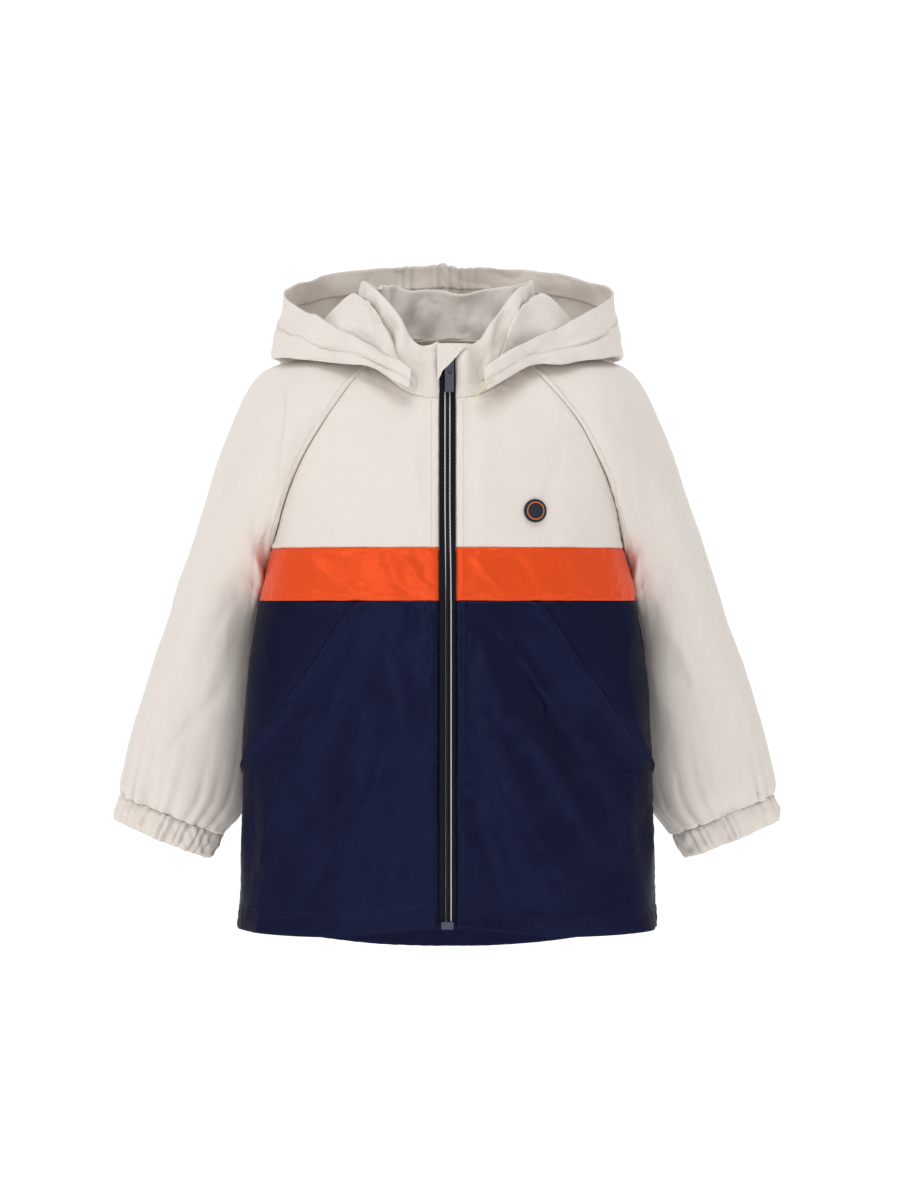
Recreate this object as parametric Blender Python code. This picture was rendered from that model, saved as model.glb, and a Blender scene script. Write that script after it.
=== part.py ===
"""A child's hooded windbreaker parka as a set of thin, hollow cloth solids.

The coat keeps the form it has on a body, with nobody inside: neck, hem and cuffs are open.
Metres, +Z up, the front faces -Y, and the origin is the middle of the neck opening.
Every cloth piece is a grid of points worked out from the tables below, given a wall.
"""

import math
from typing import NamedTuple

import bmesh
import bpy
import numpy as np
from mathutils import Vector
from mathutils.bvhtree import BVHTree

# Driving dimensions
WALL = 0.0015  # body and sleeve cloth, with its turned seams
HOOD_WALL = 0.0012  # one layer
COLLAR_WALL = 0.0030  # two layers and their seam allowances
CUFF_WALL = 0.0020  # doubled cloth over elastic
TRIM_WALL = 0.0010  # tapes, guard and badge
SEAM = 0.0008  # space between two pieces that are sewn together
BAND_TOP = -0.147  # also the height of the underarm
BAND_BOTTOM = -0.1885
FRONT_HEM = -0.449
ZIP_HEM = -0.4405  # the zip pulls the front hem up a little
BACK_DROP = 0.026  # how far the back hem hangs below the sides
HEM_PLEATS = 12
HEM_PLEAT = 0.0018
HEM_CASING = 0.018
SQUARENESS = 2.3  # exponent of the body's superelliptic rings
NECK_WIDE = 0.068
NECK_FRONT = 0.062
NECK_BACK = 0.058
ZIP_HALF = 0.0070  # half of the zip tape that shows between the fronts
FRONT_NECK_END = 64.0  # where the front raglan seam meets the neck, in degrees from the front
BACK_NECK_END = 130.0
CUFF_PLEATS = 14
CUFF_PLEAT = 0.0011
HOOD_END = 22.0  # where the hood starts beside the zip, in degrees from the front
HOOD_SEAM = 150.0  # where the side panels of the hood meet its centre panel
BRIM_CASING = 0.018
BRIM_PLEAT = 0.0012
CLEAR = 0.0004  # space between a panel and what lies on it
BADGE_CENTRE = (0.0680, -0.1188)  # x and z
BADGE_RADIUS = 0.0091
RING_RADIUS = 0.0066
RING_WIDE = 0.0010
TAPE_EDGE = 0.0017  # the zip tapes start this far from the zip's middle
COIL_HALF = 0.0012
COIL_TOP = -0.0118
SLIDER_X = 0.0016
SLIDER_TOP = -0.0010
SLIDER_LOW = -0.0112
SLIDER_THICK = 0.0018
HINGE_Z = -0.0083
BRIDGE_WINDOW = 0.0022  # the square window that holds the pull tab's top bar
BRIDGE_BAR = 0.0009
BRIDGE_HALF = 0.0008
TAB_HALF = 0.0035
TAB_LONG = 0.0180
TAB_THICK = 0.0010
TAB_BAR = 0.0010
TAB_SLOT = 0.0030
TAB_SLOT_HALF = 0.0014
BOX_HALF = 0.0046
BOX_TOP = -0.4356
BOX_LOW = -0.4413
GUARD_OUT = 0.0042  # how far the chin guard's face stands in front of the collar's
NECK_TAPE = 0.40  # share of the yoke's top row of quads that the neck tape covers
POCKET_TIP = 0.35  # the pocket's side piece ends this share short of the side seam's corner

# Grid sizes
FRONT_COLUMNS = 8
BACK_COLUMNS = 14
HEM_COLUMNS = 2 * HEM_PLEATS
YOKE_ROWS = 8
NECK_STEPS = 4  # columns of a sleeve that start at the neck
NECK_SHARE = 0.93  # share of an arm ring's height that faces the raglan seams
SEAM_RINGS = 7  # arm rings over which the columns even out


class Ring(NamedTuple):
    """One level of the body: half its width, and how far it reaches forward and back."""

    z: float
    half_width: float
    front: float
    back: float


BODY = (
    Ring(-0.480, 0.1672, 0.0985, 0.0990),
    Ring(-0.449, 0.1668, 0.0980, 0.0985),
    Ring(-0.396, 0.1650, 0.0975, 0.0980),
    Ring(-0.316, 0.1634, 0.0965, 0.0970),
    Ring(-0.268, 0.1612, 0.0950, 0.0960),
    Ring(-0.230, 0.1575, 0.0935, 0.0945),
    Ring(BAND_BOTTOM, 0.1505, 0.0900, 0.0915),
    Ring(BAND_TOP, 0.1405, 0.0860, 0.0890),
)


class Trough(NamedTuple):
    """A long soft fold down the body: its ends by turn and height, its depth and half its width."""

    top_turn: float
    top_z: float
    low_turn: float
    low_z: float
    depth: float
    width: float  # in degrees


TROUGHS = (
    Trough(20.0, -0.225, 50.0, -0.445, 0.0032, 9.0),
    Trough(58.0, -0.300, 76.0, -0.448, 0.0026, 8.0),
    Trough(112.0, -0.215, 128.0, -0.430, 0.0034, 9.0),
    Trough(150.0, -0.240, 168.0, -0.440, 0.0030, 9.0),
)


class Level(NamedTuple):
    """A point of an upright line or seam of the upper body, on its right half."""

    z: float
    x: float
    y: float


FRONT_RAGLAN = (
    Level(-0.126, 0.1362, -0.0250),
    Level(-0.105, 0.1292, -0.0420),
    Level(-0.072, 0.1130, -0.0560),
    Level(-0.0406, 0.0938, -0.0575),
    Level(-0.018, 0.0770, -0.0490),
)
BACK_RAGLAN = (
    Level(-0.122, 0.1345, 0.0330),
    Level(-0.092, 0.1235, 0.0580),
    Level(-0.056, 0.1060, 0.0740),
    Level(-0.022, 0.0850, 0.0755),
    Level(0.004, 0.0670, 0.0630),
)
FRONT_LINE = (
    Level(-0.120, 0.0, -0.0850),
    Level(-0.085, 0.0, -0.0810),
    Level(-0.055, 0.0, -0.0730),
)
BACK_LINE = (
    Level(-0.115, 0.0, 0.0905),
    Level(-0.080, 0.0, 0.0900),
    Level(-0.045, 0.0, 0.0850),
    Level(-0.010, 0.0, 0.0745),
)
# Height of the neck seam by its direction, in degrees from the front
NECK_TURNS = (0.0, 20.0, 40.0, 64.0, 90.0, 130.0, 180.0)
NECK_HEIGHTS = (-0.0310, -0.0280, -0.0165, 0.0035, 0.0160, 0.0225, 0.0255)
# Height of the collar's top edge, which falls away steeply towards the zip
COLLAR_TURNS = (0.0, 20.0, 27.0, 35.0, 48.0, 60.0, 75.0, 90.0, 120.0, 180.0)
COLLAR_TOPS = (0.0125, 0.0125, 0.0190, 0.0325, 0.0490, 0.0610, 0.0650, 0.0660, 0.0655, 0.0635)


class ArmRing(NamedTuple):
    """An oval across the right sleeve, by its highest and lowest points, its middle and its depth."""

    top_x: float
    top_z: float
    low_x: float
    low_y: float
    low_z: float
    mid_y: float
    half_depth: float
    pinch: float  # above 1 where the oval narrows towards the underarm


SLEEVE = (
    ArmRing(0.1180, 0.0050, 0.1440, 0.004, -0.1540, 0.010, 0.0700, 1.8),
    ArmRing(0.1465, -0.0045, 0.1462, 0.010, -0.1610, 0.016, 0.0630, 1.5),
    ArmRing(0.1660, -0.0330, 0.1480, 0.018, -0.1680, 0.022, 0.0560, 1.2),
    ArmRing(0.1825, -0.0715, 0.1492, 0.027, -0.1755, 0.029, 0.0530, 1.0),
    ArmRing(0.1980, -0.1150, 0.1505, 0.036, -0.1860, 0.036, 0.0490, 1.0),
    ArmRing(0.2135, -0.1600, 0.1520, 0.043, -0.2050, 0.043, 0.0450, 1.0),
    ArmRing(0.2310, -0.2120, 0.1540, 0.050, -0.2450, 0.050, 0.0410, 1.0),
    ArmRing(0.2475, -0.2620, 0.1575, 0.053, -0.2930, 0.053, 0.0380, 1.0),
    ArmRing(0.2595, -0.3025, 0.1615, 0.052, -0.3330, 0.052, 0.0360, 1.0),
    ArmRing(0.2655, -0.3330, 0.1665, 0.050, -0.3580, 0.050, 0.0340, 1.0),
    ArmRing(0.2640, -0.3460, 0.1840, 0.048, -0.3790, 0.048, 0.0240, 1.0),
)
CUFF = (
    SLEEVE[-1],
    ArmRing(0.2690, -0.3570, 0.1890, 0.048, -0.3890, 0.048, 0.0245, 1.0),
    ArmRing(0.2705, -0.3665, 0.1950, 0.048, -0.3975, 0.048, 0.0235, 1.0),
)


class ArmFold(NamedTuple):
    """A soft fold across the sleeve: where it is deepest, its slant, its depth and half widths."""

    z: float
    turn: float
    slant: float  # how much the fold drops per degree round the arm
    depth: float
    height: float
    width: float  # in degrees


ARM_FOLDS = (
    ArmFold(-0.075, 62.0, 0.0008, 0.0060, 0.040, 30.0),
    ArmFold(-0.190, 45.0, -0.0005, 0.0034, 0.016, 42.0),
    ArmFold(-0.262, 80.0, 0.0005, 0.0032, 0.014, 46.0),
    ArmFold(-0.215, 300.0, 0.0004, 0.0036, 0.016, 46.0),
    ArmFold(-0.120, 300.0, -0.0006, 0.0050, 0.034, 34.0),
)


class HoodSection(NamedTuple):
    """The hood in one direction from the neck: its roll beside the collar, the slope outside
    that, its trough, its outermost fold and its brim, each by its distance and height."""

    turn: float
    roll_r: float
    roll_z: float
    slope_r: float
    slope_z: float
    trough_r: float
    trough_z: float
    fold_r: float
    fold_z: float
    brim_r: float
    brim_z: float


HOOD = (
    HoodSection(22, 0.0672, -0.015, 0.0686, -0.017, 0.0704, -0.0200, 0.0765, -0.0240, 0.0750, -0.0095),
    HoodSection(36, 0.0680, 0.002, 0.0700, -0.003, 0.0720, -0.0095, 0.0785, -0.0145, 0.0765, 0.0030),
    HoodSection(50, 0.0690, 0.034, 0.0710, 0.020, 0.0745, 0.0010, 0.0835, -0.0050, 0.0790, 0.0115),
    HoodSection(68, 0.0715, 0.050, 0.0775, 0.034, 0.0870, 0.0070, 0.1020, -0.0010, 0.0890, 0.0235),
    HoodSection(86, 0.0735, 0.056, 0.0920, 0.042, 0.1120, 0.0150, 0.1390, 0.0055, 0.1080, 0.0380),
    HoodSection(103, 0.0735, 0.056, 0.0990, 0.038, 0.1230, 0.0130, 0.1450, 0.0055, 0.1378, 0.0580),
    HoodSection(122, 0.0715, 0.054, 0.0990, 0.026, 0.1260, -0.0040, 0.1510, 0.0020, 0.1395, 0.0730),
    HoodSection(142, 0.0685, 0.052, 0.0970, 0.004, 0.1250, -0.0480, 0.1560, -0.0200, 0.1380, 0.0835),
    HoodSection(162, 0.0655, 0.050, 0.0965, -0.030, 0.1240, -0.0950, 0.1590, -0.0450, 0.1300, 0.0890),
    HoodSection(180, 0.0645, 0.050, 0.0965, -0.040, 0.1230, -0.1130, 0.1600, -0.0560, 0.1250, 0.0910),
)


# Shares of a section at the neck, roll, slope, trough, fold and brim
HOOD_SHARES = (0.0, 0.15, 0.32, 0.50, 0.70, 1.0)


class PocketStep(NamedTuple):
    """A point of the slanted pocket edge: its height, and its place round the body in degrees."""

    z: float
    turn: float


POCKET = (
    PocketStep(BAND_BOTTOM, 25.0),
    PocketStep(-0.2360, 37.5),
    PocketStep(-0.2780, 52.0),
    PocketStep(-0.3015, 66.0),
    PocketStep(-0.3120, 76.0),
    PocketStep(-0.3230, 86.0),
    PocketStep(-0.3280, 90.0),
)


class Guard(NamedTuple):
    """One level of the chin guard, from its straight edge to its slanting one."""

    z: float
    left: float
    right: float


CHIN_GUARD = (
    Guard(-0.0160, -0.0078, -0.0068),
    Guard(-0.0085, -0.0079, -0.0033),
    Guard(-0.0055, -0.0080, 0.0004),
    Guard(0.0040, -0.0082, 0.0090),
    Guard(0.0122, -0.0082, 0.0170),
)

# Middle line of the hood zip's end
ZIP_END = ((0.0222, -0.0655, -0.0300), (0.0290, -0.0745, -0.0230), (0.0352, -0.0755, -0.0140))

# Colours are linear, roughness is that of fine woven nylon
BEIGE = ("beige nylon", (0.730, 0.671, 0.604), 0.60, 0.0)
ORANGE = ("orange nylon", (0.855, 0.112, 0.032), 0.45, 0.0)
NAVY = ("navy nylon", (0.0110, 0.0123, 0.0319), 0.42, 0.0)
TAPE = ("woven zip tape", (0.0116, 0.0103, 0.0168), 0.80, 0.0)
COIL = ("nylon zip coil", (0.0180, 0.0170, 0.0240), 0.35, 0.0)
METAL = ("painted zinc", (0.117, 0.122, 0.174), 0.40, 0.3)
CREAM = ("cream zip end", (0.730, 0.650, 0.440), 0.60, 0.0)
COPPER = ("copper thread", (0.560, 0.150, 0.040), 0.50, 0.2)


# Curves


def glide(keys, values, at):
    """Reads a smooth curve through the values at the keys, at each place in `at`."""
    keys, values, at = np.asarray(keys, float), np.asarray(values, float), np.asarray(at, float)
    wide = values.reshape(len(keys), -1)
    steps = np.diff(keys)[:, None]
    slopes = np.diff(wide, axis=0) / steps
    inner = (slopes[:-1] * steps[1:] + slopes[1:] * steps[:-1]) / (steps[1:] + steps[:-1])
    tangents = np.vstack([slopes[:1], inner, slopes[-1:]])
    i = np.clip(np.searchsorted(keys, at, side="right") - 1, 0, len(keys) - 2)
    h = steps[i]
    t = ((at - keys[i])[:, None]) / h
    out = (
        (2 * t**3 - 3 * t**2 + 1) * wide[i]
        + (t**3 - 2 * t**2 + t) * h * tangents[i]
        + (3 * t**2 - 2 * t**3) * wide[i + 1]
        + (t**3 - t**2) * h * tangents[i + 1]
    )
    return out.reshape(at.shape + values.shape[1:])


def spaced(points, count):
    """Sets count + 1 points at equal steps on a smooth curve through the points."""
    points = np.asarray(points, float)
    keys = np.concatenate([[0.0], np.cumsum(np.linalg.norm(np.diff(points, axis=0), axis=1))])
    return glide(keys, points, np.linspace(0.0, keys[-1], count + 1))


def share_along(points):
    """Gives how far along its line each point lies, from 0 to 1."""
    steps = np.linalg.norm(np.diff(points, axis=0), axis=1)
    return np.concatenate([[0.0], np.cumsum(steps)]) / steps.sum()


# The body's form


def trough_depth(turn, z):
    """Gives how far the long folds draw the body in, at a turn and a height."""
    folded = np.where(turn > 180.0, 360.0 - turn, turn)
    depth = np.zeros_like(z)
    for fold in TROUGHS:
        along = np.clip((z - fold.top_z) / (fold.low_z - fold.top_z), 0.0, 1.0)
        middle = fold.top_turn + (fold.low_turn - fold.top_turn) * along
        across = (folded - middle) / (fold.width * (0.6 + 0.6 * along))
        depth += fold.depth * np.sin(math.pi * along**0.8) * np.exp(-(across**2))
    return depth


def body_point(turn, z):
    """Gives the points of the body's tube at a turn in degrees from the front, and a height."""
    turn, z = np.broadcast_arrays(np.asarray(turn, float), np.asarray(z, float))
    rings = np.array(sorted(BODY))
    at = glide(rings[:, 0], rings[:, 1:], z.ravel()).reshape(z.shape + (3,))
    sine, cosine = np.sin(np.radians(turn)), np.cos(np.radians(turn))
    power = 2.0 / SQUARENESS
    x = at[..., 0] * np.sign(sine) * np.abs(sine) ** power
    depth = np.where(cosine > 0, at[..., 1], at[..., 2])
    y = -depth * np.sign(cosine) * np.abs(cosine) ** power
    kept = 1.0 - trough_depth(turn, z) / np.hypot(x, y)
    return np.stack([x * kept, y * kept, z], axis=-1)


def zip_turn(z):
    """Gives the turn at which a front panel starts beside the zip tape."""
    rings = np.array(sorted(BODY))
    half_width = glide(rings[:, 0], rings[:, 1], np.atleast_1d(z))
    return np.degrees(np.arcsin((ZIP_HALF / half_width) ** (SQUARENESS / 2)))


def neck_point(turn):
    """Gives the points of the neck seam at turns in degrees from the front."""
    turn = np.asarray(turn, float)
    folded = np.where(turn > 180.0, 360.0 - turn, turn)
    z = glide(NECK_TURNS, NECK_HEIGHTS, folded.ravel()).reshape(turn.shape)
    cosine = np.cos(np.radians(turn))
    depth = np.where(cosine > 0, NECK_FRONT, NECK_BACK)
    return np.stack([NECK_WIDE * np.sin(np.radians(turn)), -depth * cosine, z], axis=-1)


def neck_zip_turn():
    """Gives the turn of the neck seam at which a front panel starts beside the zip tape."""
    return math.degrees(math.asin(ZIP_HALF / NECK_WIDE))


def front_line():
    """Gives points of the upper front beside the zip, from the band up to the neck."""
    base, top = body_point(zip_turn(BAND_TOP), BAND_TOP)[0], neck_point(neck_zip_turn())
    return np.array([base, *[(ZIP_HALF, p.y, p.z) for p in FRONT_LINE], top])


def raglan(rows, neck_end):
    """Gives a raglan seam of the right side, from the underarm up to the neck."""
    base = body_point(90.0, BAND_TOP)
    line = [base, *[(p.x, p.y, p.z) for p in rows], neck_point(neck_end)]
    return spaced(line, YOKE_ROWS)


def mirrored(points):
    """Gives the same points on the other side, with their columns turned round."""
    return points[:, ::-1] * (-1, 1, 1)


def shape_along(edge):
    """Gives how an edge runs from its first end, 0, to its last, 1, in each direction."""
    span = edge[-1] - edge[0]
    even = share_along(edge)[:, None] * np.ones(3)
    flat = np.abs(span) < WALL
    return np.where(flat, even, (edge - edge[0]) / np.where(flat, 1.0, span))


def panel_between(bottom, top, first, last):
    """Fills a panel with rows from its first upright edge to its last, shaped like its ends."""
    low, high = shape_along(bottom), shape_along(top)
    rows = []
    for share, start, end in zip(share_along(last), first, last):
        wrap = (1.0 - share) ** 4
        rows.append(start + (end - start) * (wrap * low + (1.0 - wrap) * high))
    return np.array(rows)


# Body panels, as grids: rows go up, columns go round from the zip to the back


def front_turns(z, count, start=None, end=90.0):
    """Gives the turns of a front panel's columns at one height."""
    first = float(zip_turn(z)[0]) if start is None else start
    return np.linspace(first, end, count + 1)


def front_yoke():
    """The right front yoke, between the zip, the neck, the raglan seam and the band."""
    bottom = body_point(front_turns(BAND_TOP, FRONT_COLUMNS), BAND_TOP)
    top = neck_point(np.linspace(neck_zip_turn(), FRONT_NECK_END, FRONT_COLUMNS + 1))
    left = spaced(front_line(), YOKE_ROWS)
    return panel_between(bottom, top, left, raglan(FRONT_RAGLAN, FRONT_NECK_END))


def front_band():
    """The right half of the orange band across the front."""
    heights = np.linspace(BAND_BOTTOM, BAND_TOP, 3)
    return np.array([body_point(front_turns(z, FRONT_COLUMNS), z) for z in heights])


def pocket_turn(z):
    """Gives the place round the body of the slanted pocket edge, or the side below it."""
    steps = sorted(POCKET)
    return float(np.interp(z, [p.z for p in steps], [p.turn for p in steps]))


def pocket_heights():
    """Gives the heights of the rows that the lower front and the pocket's side share."""
    marks = [p.z for p in reversed(POCKET[:-1])]
    halves = [(a + b) / 2 for a, b in zip(marks[2:], marks[3:])]
    return sorted(marks + halves)


def front_hem(turn):
    """Gives the height of the front hem, which rises a little at the zip."""
    rise = (ZIP_HEM - FRONT_HEM) * np.exp(-((np.asarray(turn) / 16.0) ** 2))
    return FRONT_HEM + rise


def front_lower():
    """The right lower front, whose upper outer edge is the pocket opening."""
    rows = []
    low = POCKET[-1].z
    turns = front_turns(low, FRONT_COLUMNS)
    for share in (0.0, 0.08, 0.38, 0.69):
        rows.append(body_point(turns, front_hem(turns) * (1 - share) + low * share))
    for z in (low, *pocket_heights()):
        rows.append(body_point(front_turns(z, FRONT_COLUMNS, end=pocket_turn(z)), z))
    return np.array(rows)


def pocket_side():
    """The right pocket's side piece, which shows above the slanted edge."""
    rows = [body_point(np.linspace(pocket_turn(z), 90.0, 5), z) for z in pocket_heights()]
    corner = body_point(90.0, POCKET[-1].z)
    return np.array([corner + (rows[0] - corner) * POCKET_TIP, *rows])


def back_yoke():
    """The back yoke, between the two raglan seams."""
    half = BACK_COLUMNS // 2
    bottom = body_point(np.linspace(180.0, 90.0, half + 1), BAND_TOP)
    top = neck_point(np.linspace(180.0, BACK_NECK_END, half + 1))
    middle = spaced([bottom[0], *[(p.x, p.y, p.z) for p in BACK_LINE], top[0]], YOKE_ROWS)
    left = panel_between(bottom, top, middle, raglan(BACK_RAGLAN, BACK_NECK_END)) * (-1, 1, 1)
    return np.concatenate([mirrored(left), left[:, 1:]], axis=1)


def back_band():
    """The orange band across the back."""
    turns = np.linspace(90.0, 270.0, BACK_COLUMNS + 1)
    return np.array([body_point(turns, z) for z in np.linspace(BAND_BOTTOM, BAND_TOP, 3)])


def back_lower():
    """The lower back, longer than the front, with elastic gathers in its hem."""
    turns = np.linspace(90.0, 270.0, HEM_COLUMNS + 1)
    hang = BACK_DROP * np.sin(np.radians(turns - 90.0)) ** 2
    hem = FRONT_HEM - hang
    pleat = np.where(np.arange(HEM_COLUMNS + 1) % 2, HEM_PLEAT, -HEM_PLEAT)
    pleat[[0, -1]] = 0.0
    rows = []
    for rise, depth in ((0.0, 1.0), (HEM_CASING, 0.8), (0.050, 0.3)):
        points = body_point(turns, hem + rise)
        out = points * (1, 1, 0)
        points = points + out / np.linalg.norm(out, axis=1)[:, None] * (pleat * depth)[:, None]
        rows.append(points)
    top = np.linspace(0.0, 1.0, 7)[1:]
    rows.extend(body_point(turns, (hem + 0.050) * (1 - t) + BAND_BOTTOM * t) for t in top)
    return np.array(rows)


# Sleeves and cuffs


def even_turns(count):
    """Gives equal turns round an arm, in degrees from its low point."""
    return np.arange(count) * 360.0 / count


def seam_turns():
    """Gives turns round an arm at the heights of the raglan seams' points."""
    climb = np.arange(YOKE_ROWS + 1) / YOKE_ROWS * NECK_SHARE
    front = np.degrees(np.arccos(1 - 2 * climb))
    neck = np.linspace(front[-1], 360.0 - front[-1], NECK_STEPS + 1)
    return np.concatenate([front, neck[1:-1], 360.0 - front[:0:-1]])


def arm_ring(ring, turns, pleat=0.0):
    """Gives an oval of the right sleeve, at turns in degrees from its low point by the front."""
    cosine, sine = np.cos(np.radians(turns)), np.sin(np.radians(turns))
    top, low = np.array([ring.top_x, ring.top_z]), np.array([ring.low_x, ring.low_z])
    middle, half = (top + low) / 2, (top - low) / 2
    puff = np.where(np.arange(len(turns)) % 2, pleat, -pleat)
    across = -cosine * (1 + puff / np.linalg.norm(half))
    below = np.maximum(cosine, 0.0) ** 2
    deep = np.where(cosine > 0, np.abs(sine) ** ring.pinch, np.abs(sine)) * np.sign(sine)
    y = ring.mid_y + (ring.low_y - ring.mid_y) * below - deep * (ring.half_depth + puff)
    return np.stack([middle[0] + half[0] * across, y, middle[1] + half[1] * across], axis=-1)


def armhole():
    """Gives the closed edge where the right sleeve meets the yokes and the collar."""
    front = raglan(FRONT_RAGLAN, FRONT_NECK_END)
    back = raglan(BACK_RAGLAN, BACK_NECK_END)[::-1]
    neck = neck_point(np.linspace(FRONT_NECK_END, BACK_NECK_END, NECK_STEPS + 1))
    return np.concatenate([front, neck[1:-1], back[:-1]])


def folded_arm(grid):
    """Draws the sleeve in along its folds; its two edges stay where they are."""
    turns = even_turns(grid.shape[1])
    middle = grid.mean(axis=1, keepdims=True)
    inward = middle - grid
    inward /= np.linalg.norm(inward, axis=2, keepdims=True)
    depth = np.zeros(grid.shape[:2])
    for fold in ARM_FOLDS:
        off = (turns - fold.turn + 180.0) % 360.0 - 180.0
        height = (middle[:, :, 2] - fold.z + fold.slant * off) / fold.height
        depth += fold.depth * np.exp(-(height**2) - (off / fold.width) ** 2)
    depth *= np.clip(np.minimum(np.arange(len(grid)), np.arange(len(grid))[::-1]), 0, 2)[:, None] / 2
    return grid + inward * depth[:, :, None]


def sleeve():
    """The right sleeve, from the raglan seams to the cuff: rows go down, columns go round."""
    start = armhole()
    start[0] += (SEAM * 1.5, 0.0, SEAM * 1.5)  # clear of the band, which ends at the underarm
    keys = [0.0]
    rings = [start]
    for i, ring in enumerate(SLEEVE):
        bunched = max(0.0, 1.0 - i / SEAM_RINGS)
        turns = bunched * seam_turns() + (1 - bunched) * even_turns(len(start))
        rings.append(arm_ring(ring, turns))
    for above, below in zip(rings, rings[1:]):
        keys.append(keys[-1] + float(np.linalg.norm(below - above, axis=1).mean()))
    halfway = (keys[0] + keys[1]) / 2
    return folded_arm(glide(keys, np.array(rings), [keys[0], halfway, *keys[1:]]))


def cuff():
    """The right cuff, gathered evenly over its elastic."""
    return np.array([arm_ring(r, even_turns(2 * CUFF_PLEATS), CUFF_PLEAT) for r in CUFF])


# Collar and hood


def collar():
    """The stand collar, from one side of the zip round the neck to the other: rows go up."""
    start = neck_zip_turn()
    turns = np.concatenate(
        [[start], np.linspace(12.0, 348.0, 25), [360.0 - start]]
    )
    folded = np.where(turns > 180.0, 360.0 - turns, turns)
    low = neck_point(turns) + (0, 0, SEAM)
    top_z = glide(COLLAR_TURNS, COLLAR_TOPS, folded)
    rows = []
    for share in (0.0, 0.35, 0.7, 1.0):
        lean = 1 + 0.03 * math.sin(math.pi * share) - 0.04 * share
        rows.append(
            np.stack(
                [low[:, 0] * lean, low[:, 1] * lean, low[:, 2] * (1 - share) + top_z * share],
                axis=-1,
            )
        )
    rows = np.array(rows)
    rows[:, 0, 0], rows[:, -1, 0] = ZIP_HALF, -ZIP_HALF
    return rows


def hood_section(turn, shares):
    """Gives the points of the hood in one direction; shares run from the neck, 0, to the brim, 1."""
    folded = 360.0 - turn if turn > 180.0 else turn
    rows = np.array(HOOD)
    at = glide(rows[:, 0], rows[:, 1:], [folded])[0]
    neck = neck_point(folded)
    radius, height = np.hypot(neck[0], neck[1]), neck[2]
    marks = np.array(
        [(radius + 0.0030, height + 0.0040), *at.reshape(5, 2)]
    )
    keys = np.concatenate([[0.0], np.cumsum(np.linalg.norm(np.diff(marks, axis=0), axis=1) ** 0.5)])
    places = np.interp(shares, HOOD_SHARES, keys)
    r, z = glide(keys, marks, places).T
    return np.stack(
        [r * math.sin(math.radians(turn)), -r * math.cos(math.radians(turn)), z], axis=-1
    )


def brim_share(turn):
    """Gives where the brim casing starts, as a share of the hood's section."""
    wall = hood_section(turn, np.array([HOOD_SHARES[-2], 1.0]))
    rise = float(np.linalg.norm(wall[1] - wall[0]))
    return 1.0 - (1.0 - HOOD_SHARES[-2]) * min(BRIM_CASING / rise, 0.5)


def hood_panel(turns):
    """Gives one panel of the hood, without the brim: rows go from the neck outwards."""
    columns = []
    for turn in turns:
        end = brim_share(turn)
        shares = (0.0, 0.08, 0.15, 0.23, 0.32, 0.41, 0.50, 0.60, 0.70, (0.70 + end) / 2, end)
        columns.append(hood_section(turn, np.array(shares)))
    return np.array(columns).transpose(1, 0, 2)


def hood_brim(turns):
    """Gives the casing along the brim, gathered over elastic at the middle of the back."""
    columns = []
    for i, turn in enumerate(turns):
        gather = BRIM_PLEAT * math.exp(-(((turn - 180.0) / 16.0) ** 4)) * (1 if i % 2 else -1)
        column = hood_section(turn, np.array([brim_share(turn), 1.0]))
        columns.append(column + np.array([0.0, gather, 0.0]))
    return np.array(columns).transpose(1, 0, 2)


# Solids


def make_material(finish):
    """Gives the finish's material, made once."""
    name, colour, roughness, metallic = finish
    material = bpy.data.materials.get(name)
    if material is None:
        material = bpy.data.materials.new(name)
        material.use_nodes = True
        shader = material.node_tree.nodes["Principled BSDF"]
        shader.inputs["Base Color"].default_value = (*colour, 1.0)
        shader.inputs["Roughness"].default_value = roughness
        shader.inputs["Metallic"].default_value = metallic
    return material


def add_object(name, bm, finish):
    """Turns a bmesh into a named object with its faces pointing out."""
    bmesh.ops.recalc_face_normals(bm, faces=bm.faces)
    mesh = bpy.data.meshes.new(name)
    bm.to_mesh(mesh)
    bm.free()
    mesh.shade_smooth()
    mesh.set_sharp_from_angle(angle=math.radians(50))
    mesh.materials.append(make_material(finish))
    thing = bpy.data.objects.new(name, mesh)
    bpy.context.collection.objects.link(thing)
    return thing


def face_normals(grid, ring, flip):
    """Gives the outward normal of every quad of a grid."""
    wrapped = np.concatenate([grid, grid[:, :1]], axis=1) if ring else grid
    one = wrapped[1:, 1:] - wrapped[:-1, :-1]
    two = wrapped[1:, :-1] - wrapped[:-1, 1:]
    across = np.cross(one, two) * (-1 if flip else 1)
    return across / np.linalg.norm(across, axis=2, keepdims=True)


class Cloth(NamedTuple):
    """One piece of cloth: its grid, how it closes, and the edges that are sewn."""

    name: str
    grid: np.ndarray
    finish: tuple
    wall: float = WALL
    ring: bool = False  # the columns close on themselves
    flip: bool = False  # the outer side is the other one
    sewn: str = ""  # of "bottom", "top", "first", "last"


def corners_of(piece):
    """Yields each quad's place in its grid, with the grid places of its four corners."""
    rows, columns = piece.grid.shape[:2]
    for i in range(rows - 1):
        for j in range(columns if piece.ring else columns - 1):
            k = (j + 1) % columns
            yield (i, j), ((i, j), (i + 1, j), (i, k), (i + 1, k))


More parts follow.
